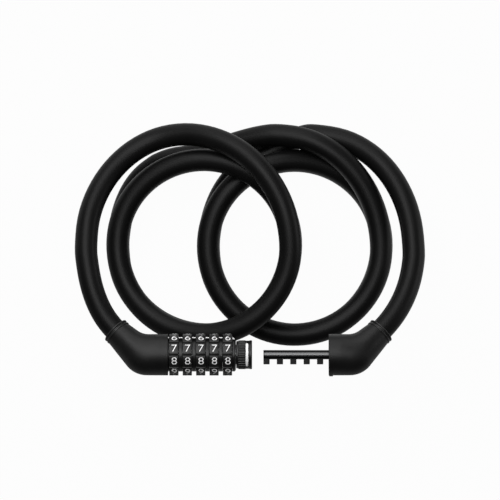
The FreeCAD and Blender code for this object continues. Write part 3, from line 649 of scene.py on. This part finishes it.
def centre_line():
    """Centre line (x, y, angle) of a cover in its plane of bend: straight, a bend whose angle grows as
    3 s^2 - 2 s^3 so that no edge of light shows where it starts, and straight to the mouth."""
    s = np.linspace(0, 1, BEND_STEPS + 1)
    angle = BEND * (3 * s ** 2 - 2 * s ** 3)
    middle = (angle[1:] + angle[:-1]) / 2
    steps = np.column_stack([np.cos(middle), np.sin(middle)]) / BEND_STEPS
    bend = np.vstack([[0, 0], np.cumsum(steps, axis=0)])
    bend *= SOFT_REACH * math.sin(BEND) / bend[-1, 1]
    start = CORNER_X - SOFT_REACH
    before = np.linspace(LINE_START, start, 4)[:-1]
    after = np.linspace(0, 1, TAPER_STEPS + 1)[1:, None]
    bend[:, 0] += start
    last = bend[-1] + after * (np.array([MOUTH_X, MOUTH_Y]) - bend[-1])
    x = np.concatenate([before, bend[:, 0], last[:, 0]])
    y = np.concatenate([0 * before, bend[:, 1], last[:, 1]])
    return x, y, np.concatenate([0 * before, angle, np.full(TAPER_STEPS, BEND)])


def edge_line(side, taper, fillet):
    """Outline of one side of a cover in its plane of bend: the straight part's edge, an arc, and a line
    to the mouth. side is 1 for the inner side of the bend and -1 for the outer one."""
    slope = BEND - side * taper
    across = np.array([-math.sin(BEND), math.cos(BEND)])
    mouth = np.array([MOUTH_X, MOUTH_Y]) + side * MOUTH_RADIUS * across
    corner = mouth[0] - (mouth[1] - side * COVER_RADIUS) / math.tan(slope)
    turn = np.linspace(0, slope, ARC_STEPS)
    arc_x = corner - fillet * math.tan(slope / 2) + fillet * np.sin(turn)
    arc_y = side * COVER_RADIUS + fillet * (1 - np.cos(turn))
    beyond = mouth + OUTLINE_REACH / 2 * np.array([math.cos(slope), math.sin(slope)])
    return (np.concatenate([[-OUTLINE_REACH], arc_x, [beyond[0]]]),
            np.concatenate([[side * COVER_RADIUS], arc_y, [beyond[1]]]))


def side_reach(line, side, taper, fillet):
    """Distance from each point of the centre line, square to it, to the outline of one side."""
    edge_x, edge_y = edge_line(side, taper, fillet)
    x, y, bend = (column[:, None] for column in line)
    along = (edge_x - x) * np.cos(bend) + (edge_y - y) * np.sin(bend)
    beside = side * ((edge_y - y) * np.cos(bend) - (edge_x - x) * np.sin(bend))
    return np.array([np.interp(0, a, b) for a, b in zip(along, beside)])


def elbow_rings():
    """Rings (x, y, angle, radius) with the reach of both sides. The radius falls over the bend and to
    the mouth with the share of the way there, to TAPER_POWER."""
    line = centre_line()
    x, y, bend = line
    run = np.concatenate([[0], np.cumsum(np.hypot(np.diff(x), np.diff(y)))])
    start = CORNER_X - SOFT_REACH - LINE_START
    share = np.clip((run - start) / (run[-1] - start), 0, 1) ** TAPER_POWER
    radius = COVER_RADIUS + (MOUTH_RADIUS - COVER_RADIUS) * share
    return (np.column_stack([x, y, bend, radius]),
            side_reach(line, 1, INNER_TAPER, INNER_FILLET),
            side_reach(line, -1, OUTER_TAPER, OUTER_FILLET))


def mouth_rings():
    """From the mouth's edge in to the bottom of the cable's bore."""
    bore = CABLE / 2 + BORE_FIT
    return [(EXIT_X - back * math.cos(BEND), EXIT_Y - back * math.sin(BEND), BEND, radius)
            for back, radius in ((COLLAR_LENGTH, bore), (CABLE_SEAT, bore), (CABLE_SEAT, bore * 0.02))]


def make_cover(name, place, hollow, bead):
    """hollow is the profile of the face's hollow, from its bottom out. In a ring the reach goes over
    from the inner side to the radius and to the outer side with cos squared. bead raises a short bar
    at the rim on the outer side, falling off with cos to the sixth."""
    bar = [(along, COVER_RADIUS) for along in BEAD_EDGES]
    face = np.vstack([soften([hollow[-1], (0, COVER_RADIUS), bar[0]], RIM_ROUND, False), bar[1:]])
    rings, inner, outer = elbow_rings()
    front, back = straight_rings(hollow[:-1]) + straight_rings(face), mouth_rings()
    angles = even_angles(COVER_SIDES)
    side = np.cos(angles)[None, :]
    ripple = np.zeros((len(front) + len(rings) + len(back), len(angles)))
    ripple[len(front):len(front) + len(rings)] = (
        (inner - rings[:, 3])[:, None] * np.maximum(side, 0) ** 2
        + (outer - rings[:, 3])[:, None] * np.maximum(-side, 0) ** 2)
    ripple[len(front) - 3:len(front) - 1] = bead * np.maximum(-np.cos(angles - BEAD_TURN), 0) ** 6
    return ring_mesh(name, ring_points([*front, *rings, *back], angles, place, ripple), COVER)


SPRING_ROOM = 7.6 * MM
SPRING_DEPTH = 6.5 * MM
TUBE_RADIUS = 4.52 * MM
TUBE_SEAT = 10.42 * MM
BOSS_RADIUS = 9.4 * MM
BOSS_RISE = FACE_GAP - DIAL_CLEAR
BOTTOM_RING = 0.1 * MM
head_hollow = [
    (TUBE_SEAT, BOTTOM_RING), (TUBE_SEAT, TUBE_RADIUS), (SPRING_DEPTH, TUBE_RADIUS),
    (SPRING_DEPTH, SPRING_ROOM), (-BOSS_RISE, SPRING_ROOM), (-BOSS_RISE, BOSS_RADIUS), (0, BOSS_RADIUS)]
CUP_RADIUS = 8.45 * MM
INSERT_DEPTH = insert_high[0] - PLUG_FACE
plug_hollow = [(INSERT_DEPTH, BOTTOM_RING), (INSERT_DEPTH, CUP_RADIUS), (0, CUP_RADIUS)]
head_shell = make_cover("head_shell", HEAD_PLACE, head_hollow, 0)
plug_shell = make_cover("plug_shell", PLUG_PLACE, plug_hollow, BEAD_RISE)
print("covers:", len(head_shell.data.polygons) + len(plug_shell.data.polygons), "faces")

# %% [markdown]
# ## Cable collars
# Where the cable enters a cover, two thin rings with a groove between them close the mouth. They are
# turned pieces, so a closed outline goes round the line of the mouth.

# %% Cable collars
COLLAR_FLANGE = 0.8 * MM
COLLAR_OUTER = 8.0 * MM
COLLAR_FLOOR = 7.2 * MM
COLLAR_ROUND = 0.25 * MM
COLLAR_SIDES = 80
EXIT_TURN = move_to(EXIT_X, EXIT_Y, 0) @ turn_about("z", math.degrees(BEND))


def make_collar(name, place):
    bore = CABLE / 2 + BORE_FIT
    inner = COLLAR_FLANGE - COLLAR_LENGTH
    corners = [(-COLLAR_LENGTH, bore), (-COLLAR_LENGTH, COLLAR_OUTER), (inner, COLLAR_OUTER),
               (inner, COLLAR_FLOOR), (-COLLAR_FLANGE, COLLAR_FLOOR), (-COLLAR_FLANGE, COLLAR_OUTER),
               (0, COLLAR_OUTER), (0, bore)]
    profile = soften(corners, COLLAR_ROUND)
    return turned_piece(name, profile, place @ EXIT_TURN, COLLAR, even_angles(COLLAR_SIDES))


head_rings = make_collar("head_collar_rings", HEAD_PLACE)
plug_rings = make_collar("plug_collar_rings", PLUG_PLACE)
print("collars: two, %.1f mm long" % (COLLAR_LENGTH / MM))

# %% [markdown]
# ## Dials
# Each dial has ten grip grooves and ten digits. The radius of its surface is a function of the
# angle: full between grooves, less in them. The angles are close together only at the
# grooves' edges, where the shape needs them.

# %% Grip grooves
DIGITS = 10
SECTOR = 2 * math.pi / DIGITS
DIAL_RADIUS = (dial_high[1] - dial_low[1]) / 2
DIAL_BORE = 8.06 * MM
GRIP_HALF = 0.55 * MM
GRIP_DEPTH = 0.8 * MM
EDGE_ROUND = 0.13 * MM
HUB_RADIUS = 9.36 * MM
HUB_RISE = 0.14 * MM
GROOVE_PLACES = np.array([0.08, 0.2, 0.9, 1.0, 1.12])
GROOVE_DEPTHS = np.array([1.0, 0.9, 0.12, 0.03, 0.0])


def grip_angles():
    """Angles of one sector, repeated: the two walls of its groove, then the land."""
    groove = np.concatenate([-GROOVE_PLACES[::-1], GROOVE_PLACES]) * GRIP_HALF / DIAL_RADIUS
    land = np.linspace(groove[-1], SECTOR - groove[-1], 9)[1:-1]
    one = np.concatenate([groove, land])
    return np.concatenate([one + n * SECTOR for n in range(DIGITS)])


def grip_depth(angles):
    """How deep the surface is cut at an angle: a groove in V shape at every sector's start, with
    rounded edges."""
    off = np.abs((angles + SECTOR / 2) % SECTOR - SECTOR / 2) * DIAL_RADIUS / GRIP_HALF
    return np.interp(off, GROOVE_PLACES, GROOVE_DEPTHS) * GRIP_DEPTH


def axis_place(along):
    """A place on the lock's axis. Its ring angle 0 is the back, and a quarter turn is the top."""
    return move_to(along, AXIS_Y, AXIS_Z)


def make_dial(n):
    """Dial with a low hub on both sides. The groove's depth fades to nothing down the dial's side."""
    start = dial_low[0] + (n - 1) * PITCH
    end = DIAL_WIDTH + HUB_RISE
    corners = [(-HUB_RISE, DIAL_BORE), (-HUB_RISE, HUB_RADIUS), (0, HUB_RADIUS), (0, DIAL_RADIUS),
               (DIAL_WIDTH, DIAL_RADIUS), (DIAL_WIDTH, HUB_RADIUS), (end, HUB_RADIUS), (end, DIAL_BORE)]
    profile = soften(corners, EDGE_ROUND)
    angles = grip_angles()
    outside = np.clip((profile[:, 1] - HUB_RADIUS) / (DIAL_RADIUS - HUB_RADIUS), 0, 1) ** 2
    ripple = -outside[:, None] * grip_depth(angles)[None, :]
    return turned_piece("dial_ring_%d" % n, profile, axis_place(start), DIAL,
                        angles + math.pi / 2, ripple, sharp=40)


dials = [make_dial(n) for n in range(1, DIALS + 1)]
print("dials:", len(dials), "with", len(dials[0].data.polygons), "faces each")

# %% [markdown]
# ## Digits
# A text object gives the outline of each digit. Its mesh is flat, so it is cut into
# narrow strips and then wrapped on the dial: height on the digit becomes an angle. The digits get
# smaller numbers towards the back, so that 7 and 8 stand to both sides of the top.

# %% Wrapped digits
DIGIT_HEIGHT = 4.1 * MM
DIGIT_WIDTH = 2.95 * MM
DIGIT_RAISE = 0.04 * MM
STRIPS = 10
THICK = 0.02
NARROW_ONE = 0.62
MARKED_DIGIT = 6
MARKED_SECTORS = 1.5
DIGIT_OFFSET = -0.013
DIGIT_SHIFT = 0.25 * MM
DIGIT_TURN = 0.02


def digit_points(text):
    """Vertices and faces of a digit, its box scaled to DIGIT_WIDTH by DIGIT_HEIGHT round the origin."""
    curve = bpy.data.curves.new("digit", "FONT")
    curve.body = text
    curve.offset = DIGIT_OFFSET
    curve.extrude = THICK
    curve.resolution_u = 5
    shape = bmesh.new()
    shape.from_mesh(mesh_from(curve))
    bmesh.ops.remove_doubles(shape, verts=shape.verts, dist=1e-5)
    height = [vertex.co.y for vertex in shape.verts]
    for level in np.linspace(min(height), max(height), STRIPS + 1)[1:-1]:
        everything = shape.verts[:] + shape.edges[:] + shape.faces[:]
        bmesh.ops.bisect_plane(shape, geom=everything, plane_co=(0, level, 0), plane_no=(0, 1, 0))
    bmesh.ops.triangulate(shape, faces=shape.faces)
    shape.verts.index_update()
    points = np.array([vertex.co for vertex in shape.verts])
    faces = np.array([[vertex.index for vertex in face.verts] for face in shape.faces])
    shape.free()
    low, high = points.min(0), points.max(0)
    width = DIGIT_WIDTH * (NARROW_ONE if text == "1" else 1.0)
    size = np.array([width, DIGIT_HEIGHT, 2 * DIGIT_RAISE])
    return (points - (low + high) / 2) / (high - low) * size, faces


def wrap(points, along, angle):
    """Point on the dial: angle from the top towards the back grows with height on the digit."""
    turn = angle + points[:, 1] / DIAL_RADIUS
    out = DIAL_RADIUS + points[:, 2]
    y, z = AXIS_Y + out * np.sin(turn), AXIS_Z + out * np.cos(turn)
    return np.column_stack([along + points[:, 0], y, z])


def make_digits(n):
    """Ten digits of one dial: the 6 stands 1.5 sectors behind the top, and each next digit one
    sector nearer to the front."""
    middle = dial_low[0] + (n - 1) * PITCH + DIAL_WIDTH / 2 + DIGIT_SHIFT
    vertices, faces, count = [], [], 0
    for digit, (points, triangles) in enumerate(DIGIT_SHAPES):
        vertices.append(wrap(points, middle, SECTOR * (MARKED_SECTORS - digit + MARKED_DIGIT) + DIGIT_TURN))
        faces.append(triangles + count)
        count += len(points)
    mesh = bpy.data.meshes.new("dial_digits_%d" % n)
    mesh.from_pydata(np.vstack(vertices).tolist(), [], np.vstack(faces).tolist())
    mesh.materials.append(WHITE)
    return add_object("dial_digits_%d" % n, mesh)


DIGIT_SHAPES = [digit_points(str(digit)) for digit in range(DIGITS)]
digits = [make_digits(n) for n in range(1, DIALS + 1)]
print("digits:", DIGITS * len(digits), "in all")

# %% [markdown]
# ## Spacers and index marks
# Between two dials sits a fixed ring, a little smaller than the dials, with a white bar on it. The
# digits beside the bars make the code. The bars are short rounded beams along the axis.

# %% Spacer rings
side_low, side_high = box("spacer_1")
SPACER_WIDTH = side_high[0] - side_low[0]
SPACER_OUTER = 9.4 * MM
SPACER_INNER = 8.3 * MM
WEB_BORE = 4.52 * MM
WEB = 0.95 * MM
SPACER_ROUND = 0.08 * MM


def make_spacer(n):
    start = side_low[0] + (n - 1) * PITCH
    web = SPACER_WIDTH - WEB
    corners = [(web, WEB_BORE), (web, SPACER_INNER), (0, SPACER_INNER), (0, SPACER_OUTER),
               (SPACER_WIDTH, SPACER_OUTER), (SPACER_WIDTH, WEB_BORE)]
    profile = soften(corners, SPACER_ROUND)
    return turned_piece("spacer_ring_%d" % n, profile, axis_place(start), RING, even_angles(RING_SIDES))


spacers = [make_spacer(n) for n in range(1, DIALS)]
print("spacers:", len(spacers), "of %.2f mm" % (SPACER_WIDTH / MM))

# %% Index marks
MARK_ANGLE = math.radians(60)
MARK_HALF = 0.27 * MM
MARK_TOP = 11.3 * MM
MARK_ROOT = 8.8 * MM
PAINT_DEPTH = 0.3 * MM
MARK_SINK = 0.05 * MM


def make_beam(name, start, end, low, high, half, material, drop):
    """Rounded beam from start to end along the axis, low to high from it; its top drops towards the
    end by drop. Its section is a row of six points: across the beam and up its height."""
    ease = 0.12 * MM
    across = np.array([-1, -0.8, 0.8, 1, 1, -1]) * half
    lift = np.array([0.88, 1, 1, 0.88, 0, 0])
    rows = []
    for x, shrink in ((start, 0.9), (start + ease, 1), (end - ease, 1), (end, 0.9)):
        top = high - drop * (x - start) / (end - start)
        out = low + (top - low) * lift * (0.96 if shrink < 1 else 1)
        side = across * shrink
        rows.append(np.column_stack([
            np.full(6, x), AXIS_Y + out * math.sin(MARK_ANGLE) + side * math.cos(MARK_ANGLE),
            AXIS_Z + out * math.cos(MARK_ANGLE) - side * math.sin(MARK_ANGLE)]))
    return ring_mesh(name, np.array(rows), material, sharp=60)


def make_mark(place, start, end, drop=0.0):
    """Black stem on the ring, a little thinner than its white painted top."""
    split = MARK_TOP - PAINT_DEPTH
    stem = make_beam("index_stem_" + place, start, end, MARK_ROOT, split, MARK_HALF * 0.98, RING, drop)
    top = make_beam("index_mark_" + place, start, end, split - drop, MARK_TOP, MARK_HALF, WHITE, drop)
    return [stem, top]


marks = make_mark("head", HEAD_FACE - MARK_SINK, dial_low[0] - DIAL_CLEAR)
for n in range(1, DIALS):
    start = side_low[0] + (n - 1) * PITCH
    marks += make_mark(str(n), start, start + SPACER_WIDTH)

# %% [markdown]
# ## End collar
# The last ring closes the head. It is a spacer with a chamfer towards the code-set ring, and its
# index mark slopes down to the chamfer.

# %% End collar
end_low, end_high = box("end_collar")
END_WIDTH = end_high[0] - end_low[0]
END_CHAMFER = 0.75 * MM
END_WALL = 0.35 * MM
END_ROUND = 0.15 * MM
END_FLOOR = END_WIDTH - END_WALL
END_DROP = 0.9 * MM
end_corners = [
    (END_FLOOR, WEB_BORE), (END_FLOOR, SPACER_INNER - 0.3 * MM), (0, SPACER_INNER), (0, SPACER_OUTER),
    (END_WIDTH - END_CHAMFER, SPACER_OUTER), (END_WIDTH, SPACER_OUTER - END_CHAMFER), (END_WIDTH, WEB_BORE)]
end_collar = turned_piece("end_collar_ring", soften(end_corners, END_ROUND), axis_place(end_low[0]), RING,
                          even_angles(RING_SIDES))
marks += make_mark("end", end_low[0], end_high[0] - END_CHAMFER, END_DROP)
print("index marks:", len(marks) // 2)

# %% [markdown]
# ## Code-set ring
# The small ring on the end of the head is turned to set a new code. It has a smooth neck, a
# knurl, a band with a white bar that shows which way it is turned, and an end flange.

# %% Knurled ring
set_low, set_high = box("set_ring")
SET_RADIUS = (set_high[2] - set_low[2]) / 2
SET_LENGTH = set_high[0] - set_low[0]
NECK = 1.24 * MM
KNURL_END = 5.19 * MM
FLANGE_START = SET_LENGTH - 1.4 * MM
KNURL_DEPTH = 0.4 * MM
KNURLS = 36
SET_BORE = 5.76 * MM
SNAP_ROOM = 7.01 * MM
SNAP_FIT = 0.35 * MM
KNURL_ROUND = 0.45 * MM
HAIR = 0.01 * MM
snap_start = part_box("snap_ring")[0][0]


def make_set_ring():
    """The knurl is a ripple: a groove wherever the angle is near one of 36 even steps."""
    pocket = snap_start - set_low[0] - SNAP_FIT
    low, middle = SET_RADIUS - KNURL_DEPTH, SET_RADIUS - KNURL_DEPTH / 2
    corners = [(0, SET_BORE), (0, low), (NECK, low), (NECK, SET_RADIUS), (KNURL_END, SET_RADIUS),
               (KNURL_END, middle), (FLANGE_START, middle), (FLANGE_START, SET_RADIUS),
               (SET_LENGTH, SET_RADIUS), (SET_LENGTH, SNAP_ROOM), (pocket, SNAP_ROOM), (pocket, SET_BORE)]
    profile = soften(corners, KNURL_ROUND)
    angles = even_angles(KNURLS * 6)
    phase = (angles * KNURLS / (2 * math.pi)) % 1
    groove = np.interp(np.abs(phase - 0.5), [0.0, 0.13, 0.3, 0.5], [1.0, 1.0, 0.0, 0.0])
    along, out = profile.T
    knurled = (along > NECK - HAIR) & (along < KNURL_END + HAIR) & (out > low - HAIR)
    depth = np.where(knurled, np.maximum(out - low, 0), 0)
    ripple = -depth[:, None] * groove[None, :]
    return turned_piece("code_set_ring", profile, axis_place(set_low[0]), RING, angles, ripple, sharp=40)


BAR_START = 5.34 * MM
BAR_END = 6.74 * MM
BAR_REACH = math.radians(55)


def make_bar():
    """White bar across the top of the ring: a strip wrapped on the ring. Towards its ends its width
    follows a half circle."""
    radius = SET_RADIUS - KNURL_DEPTH / 2
    half = (BAR_END - BAR_START) / 2
    end = half / radius
    tip = end * (1 - np.cos(np.linspace(0.12, math.pi / 2, 7)))
    straight = np.linspace(-BAR_REACH + end, BAR_REACH - end, 40)[1:-1]
    turn = np.concatenate([-BAR_REACH + tip, straight, BAR_REACH - tip[::-1]])
    inside = np.clip((BAR_REACH - np.abs(turn)) / end, 0, 1)
    width = half * np.sqrt(1 - (1 - inside) ** 2)
    across = np.array([-1, -0.9, 0.9, 1, 1, -1])[None, :] * width[:, None]
    lift = radius + np.array([0.03, 0.06, 0.06, 0.03, -0.1, -0.1])[None, :] * MM
    x = set_low[0] + BAR_START + half + across
    y = AXIS_Y + lift * np.sin(turn)[:, None]
    z = AXIS_Z + lift * np.cos(turn)[:, None]
    return ring_mesh("code_set_bar", np.stack([x, y, z], axis=-1), WHITE, sharp=60)


set_ring = make_set_ring()
set_bar = make_bar()
print("knurl:", KNURLS, "grooves of %.1f mm" % (KNURL_DEPTH / MM))

# %% [markdown]
# ## Locking pin
# The pin is a steel rod with five teeth along its front. At any angle, the edge of a tooth's
# section is the nearer of two lines, its tip and its side, and the pin's own circle where that is
# larger. So a tooth is a ring of the pin with another radius at each angle.

# %% Toothed pin
pin_low, pin_high = box("locking_pin")
PIN_RADIUS = 2.6 * MM
TOOTH_TIP = 5.4 * MM
TOOTH_HALF = 1.5 * MM
TOOTH_WIDTH = 3.5 * MM
PIN_CHAMFER = 0.7 * MM
TOOTH_ROUND = 0.2 * MM
TOOTH_STEP = 0.01 * MM
ROUND_STEPS = 44
FIRST_TOOTH = pin_low[0] + 1.735 * MM


def tooth_radius(angles):
    """Union of the pin's circle and the tooth, which points along angle 0."""
    side, tip = np.abs(np.sin(angles)), np.cos(angles)
    flat = TOOTH_TIP / np.maximum(tip, 0.05)
    wall = TOOTH_HALF / np.maximum(side, 1e-3)
    return np.maximum(PIN_RADIUS, np.where(tip > 0, np.minimum(flat, wall), 0))


def pin_angles():
    """Even angles, with more of them at the corners of a tooth."""
    corner = math.atan2(TOOTH_HALF, TOOTH_TIP)
    root = math.asin(TOOTH_HALF / PIN_RADIUS)
    near = np.array([0, 0.5, 0.9, 1, 1.06, 1.3, 1.7]) * corner
    half = np.concatenate([near, [0.98 * root, root]])
    rest = np.linspace(root, 2 * math.pi - root, ROUND_STEPS)[1:-1]
    return np.concatenate([-half[:0:-1], half, rest])


def make_pin():
    """Rings along the pin: height 0 is the plain pin and 1 the full tooth. The tooth value tells the
    finish where the teeth are; the other value marks the band along the top that gets a painted
    highlight, while the sides and teeth get painted shade."""
    start = pin_low[0]
    rows = [(start, 0, 0.76), (start + 0.25 * PIN_CHAMFER, 0, 0.86), (start + PIN_CHAMFER, 0, 1)]
    rise = [(0, 0), (TOOTH_STEP, 0.86), (TOOTH_ROUND / 3, 0.96), (TOOTH_ROUND, 1)]
    for n in range(DIALS):
        left = FIRST_TOOTH + n * PITCH - TOOTH_WIDTH / 2
        rows += [(left + off, height, 1) for off, height in rise]
        rows += [(left + TOOTH_WIDTH - off, height, 1) for off, height in rise[::-1]]
    rows.append((pin_high[0], 0, 1))
    along, height, plain = np.transpose(rows)[..., None]
    angles = pin_angles()[None, :]
    out = plain * PIN_RADIUS + height * (tooth_radius(angles) - PIN_RADIUS)
    y, z = AXIS_Y - out * np.cos(angles), AXIS_Z - out * np.sin(angles)
    piece = ring_mesh("toothed_pin", np.stack([along + 0 * out, y, z], axis=-1), PIN_STEEL, sharp=30)
    tooth = np.clip((out - 1.02 * PIN_RADIUS) / (0.1 * PIN_RADIUS), 0, 1)
    # Painted highlight: the band along the pin's top, facing the lamp above, is marked for a brighter
    # colour than the sides.
    painted_highlight = np.clip((-np.sin(angles) - 0.78) / 0.16, 0, 1) * (1 - tooth)
    for name, share in (("tooth", tooth), ("painted_highlight", painted_highlight)):
        place = piece.data.attributes.new(name, "FLOAT", "POINT")
        place.data.foreach_set("value", np.concatenate([share.ravel(), [0, 0]]))
    return piece


toothed_pin = make_pin()
print("pin %.1f mm long with %d teeth" % ((pin_high[0] - pin_low[0]) / MM, DIALS))

# %% [markdown]
# ## Which piece moves with what
# A piece rides on a body of the solid model and stands for one or more of its nodes. The digits ride
# on their dials. The last part of the cable is left on no body. The metal
# inside keeps the shapes of the solid model and only gets a finish.

# %% Pieces on their bodies
BODIES = ["first_dial", "second_dial", "third_dial", "fourth_dial", "fifth_dial"]


def dress(piece, body, slot, *nodes):
    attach(piece, body)
    if nodes:
        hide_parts(*nodes)


dress(head_shell, "lock_head", "cover_plastic", "head_cover")
dress(plug_shell, "plug", "cover_plastic", "plug_cover")
dress(head_rings, "lock_head", "collar_plastic", "head_collar")
dress(plug_rings, "plug", "collar_plastic", "plug_collar")
for n, body in enumerate(BODIES):
    dress(dials[n], body, "dial_plastic", "dial_%d" % (n + 1))
    dress(digits[n], body, "dial_plastic")
for n, piece in enumerate(spacers):
    dress(piece, "lock_head", "ring_plastic", "spacer_%d" % (n + 1))
for piece in marks:
    dress(piece, "lock_head", "ring_plastic")
dress(end_collar, "lock_head", "ring_plastic", "end_collar")
dress(set_ring, "code_ring", "ring_plastic", "set_ring")
dress(set_bar, "code_ring", "ring_plastic")
dress(toothed_pin, "plug", "pin_steel", "locking_pin")

# %% The cable
dress(coil, "lock_head", "cable_vinyl", "cable")
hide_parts("cable_tail")
exit_station(PLUG_PLACE)[0]
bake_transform(tail)
exit_station(HEAD_PLACE)[0]

# %% Metal inside
INSIDE = {
    ZINC: ["core_tube", "plug_insert"] + ["gate_ring_%d" % n for n in range(1, DIALS + 1)],
    SPRING_STEEL: ["detent_strip", "clutch_spring", "snap_ring"],
    FERRULE: ["head_ferrule", "plug_ferrule"],
    ROPE: ["head_core_end", "plug_core_end"],
    STEEL: ["head_cable_pin", "plug_cable_pin", "head_tube_pin", "plug_root_pin"]}
for material, nodes in INSIDE.items():
    for node in nodes:
        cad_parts[node].data.materials.clear()
        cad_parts[node].data.materials.append(material)
print("solids kept with a new finish:", sum(len(nodes) for nodes in INSIDE.values()))

# %% [markdown]
# ## Table and light
# The photograph is a product picture on white: black pieces with soft highlights along
# their upper sides. A wide soft lamp stands behind the top of the picture, and the table is
# white to the camera but keeps a faint shadow.

# %% White table
TABLE_HALF = 4.0
CAMERA_SHARE = 0.97
GLOW_FRONT, GLOW_BACK = -0.1, 0.04
GLOW_LOW, GLOW_GAIN = 0.04, 0.86


def make_table():
    """White to the camera. Glossy and transmission rays see the same white grow towards the lamps,
    from GLOW_LOW by GLOW_GAIN, a painted pool of light in the table's reflections; the rest is
    plain paint with shadows."""
    mesh = bpy.data.meshes.new("table")
    corners = np.array([(-1, -1, 0), (1, -1, 0), (1, 1, 0), (-1, 1, 0)]) * TABLE_HALF
    mesh.from_pydata(corners.tolist(), [], [(0, 1, 2, 3)])
    shader = Shader("table_white")
    diffuse = shader.node("BsdfDiffuse", {"Color": grey(0.35)})
    glow = shader.node("Emission", {"Color": grey(1.0), "Strength": 1.0})
    camera_ray, glossy_ray, transmission_ray = (
        shader.node("LightPath", out=name)
        for name in ("Is Camera Ray", "Is Glossy Ray", "Is Transmission Ray"))
    reflected = glossy_ray.maths("MAXIMUM", transmission_ray)
    side, depth = (shader.node("SeparateXYZ", {"Vector": shader.place()}, axis) for axis in "XY")
    # Painted light: the glow that reflections see is a painted gradient, brighter towards the lamps at the
    # back.
    painted_lamp_glow = (side * 0.3 + depth * 0.95).above(GLOW_FRONT, GLOW_BACK) * GLOW_GAIN + GLOW_LOW
    seen = (camera_ray * CAMERA_SHARE).maths("MAXIMUM", reflected * painted_lamp_glow)
    mixed = shader.node("MixShader", {0: seen, 1: diffuse, 2: glow})
    shader.tree.links.new(mixed.socket, shader.output.inputs["Surface"])
    mesh.materials.append(shader.material)
    table = add_object("table", mesh)
    table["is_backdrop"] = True
    return table


def make_lamp(name, place, target, size, energy):
    data = bpy.data.lights.new(name, "AREA")
    data.shape = "RECTANGLE"
    data.size, data.size_y = size
    data.energy = energy
    lamp = add_object(name, data)
    lamp.location = place
    lamp.rotation_mode = "QUATERNION"
    lamp.rotation_quaternion = (Vector(target) - Vector(place)).to_track_quat("-Z", "Y")
    lamp.visible_camera = False
    return lamp


table = make_table()
key = make_lamp("key_lamp", (-0.25, 0.5, 1.4), (0, 0, 0.03), (0.9, 1.6), 24)
back = make_lamp("back_lamp", (-0.2, 1.7, 0.75), (0, 0, 0.1), (1.6, 1.4), 16)
rim = make_lamp("rim_lamp", (1.5, 0.3, 0.3), (0, 0, 0.03), (0.9, 0.4), 5)
world = bpy.data.worlds.new("room")
bpy.context.scene.world = world
world.use_nodes = True
backdrop = world.node_tree.nodes["Background"]
backdrop.inputs["Color"].default_value = grey(1.0)
backdrop.inputs["Strength"].default_value = 0.06
bpy.context.scene.view_settings.view_transform = "Standard"
print("lamps:", key.name, back.name, rim.name)

# %% [markdown]
# ## Sizes
# The dressed lock has to fill the same box as the solid model, so both boxes are written down.

# %% Sizes
dressed_low, dressed_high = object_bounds()
for name, low, high in (("solids", cad_low, cad_high), ("dressed", dressed_low, dressed_high)):
    print(name, np.round((high - low) / MM, 1), "mm")
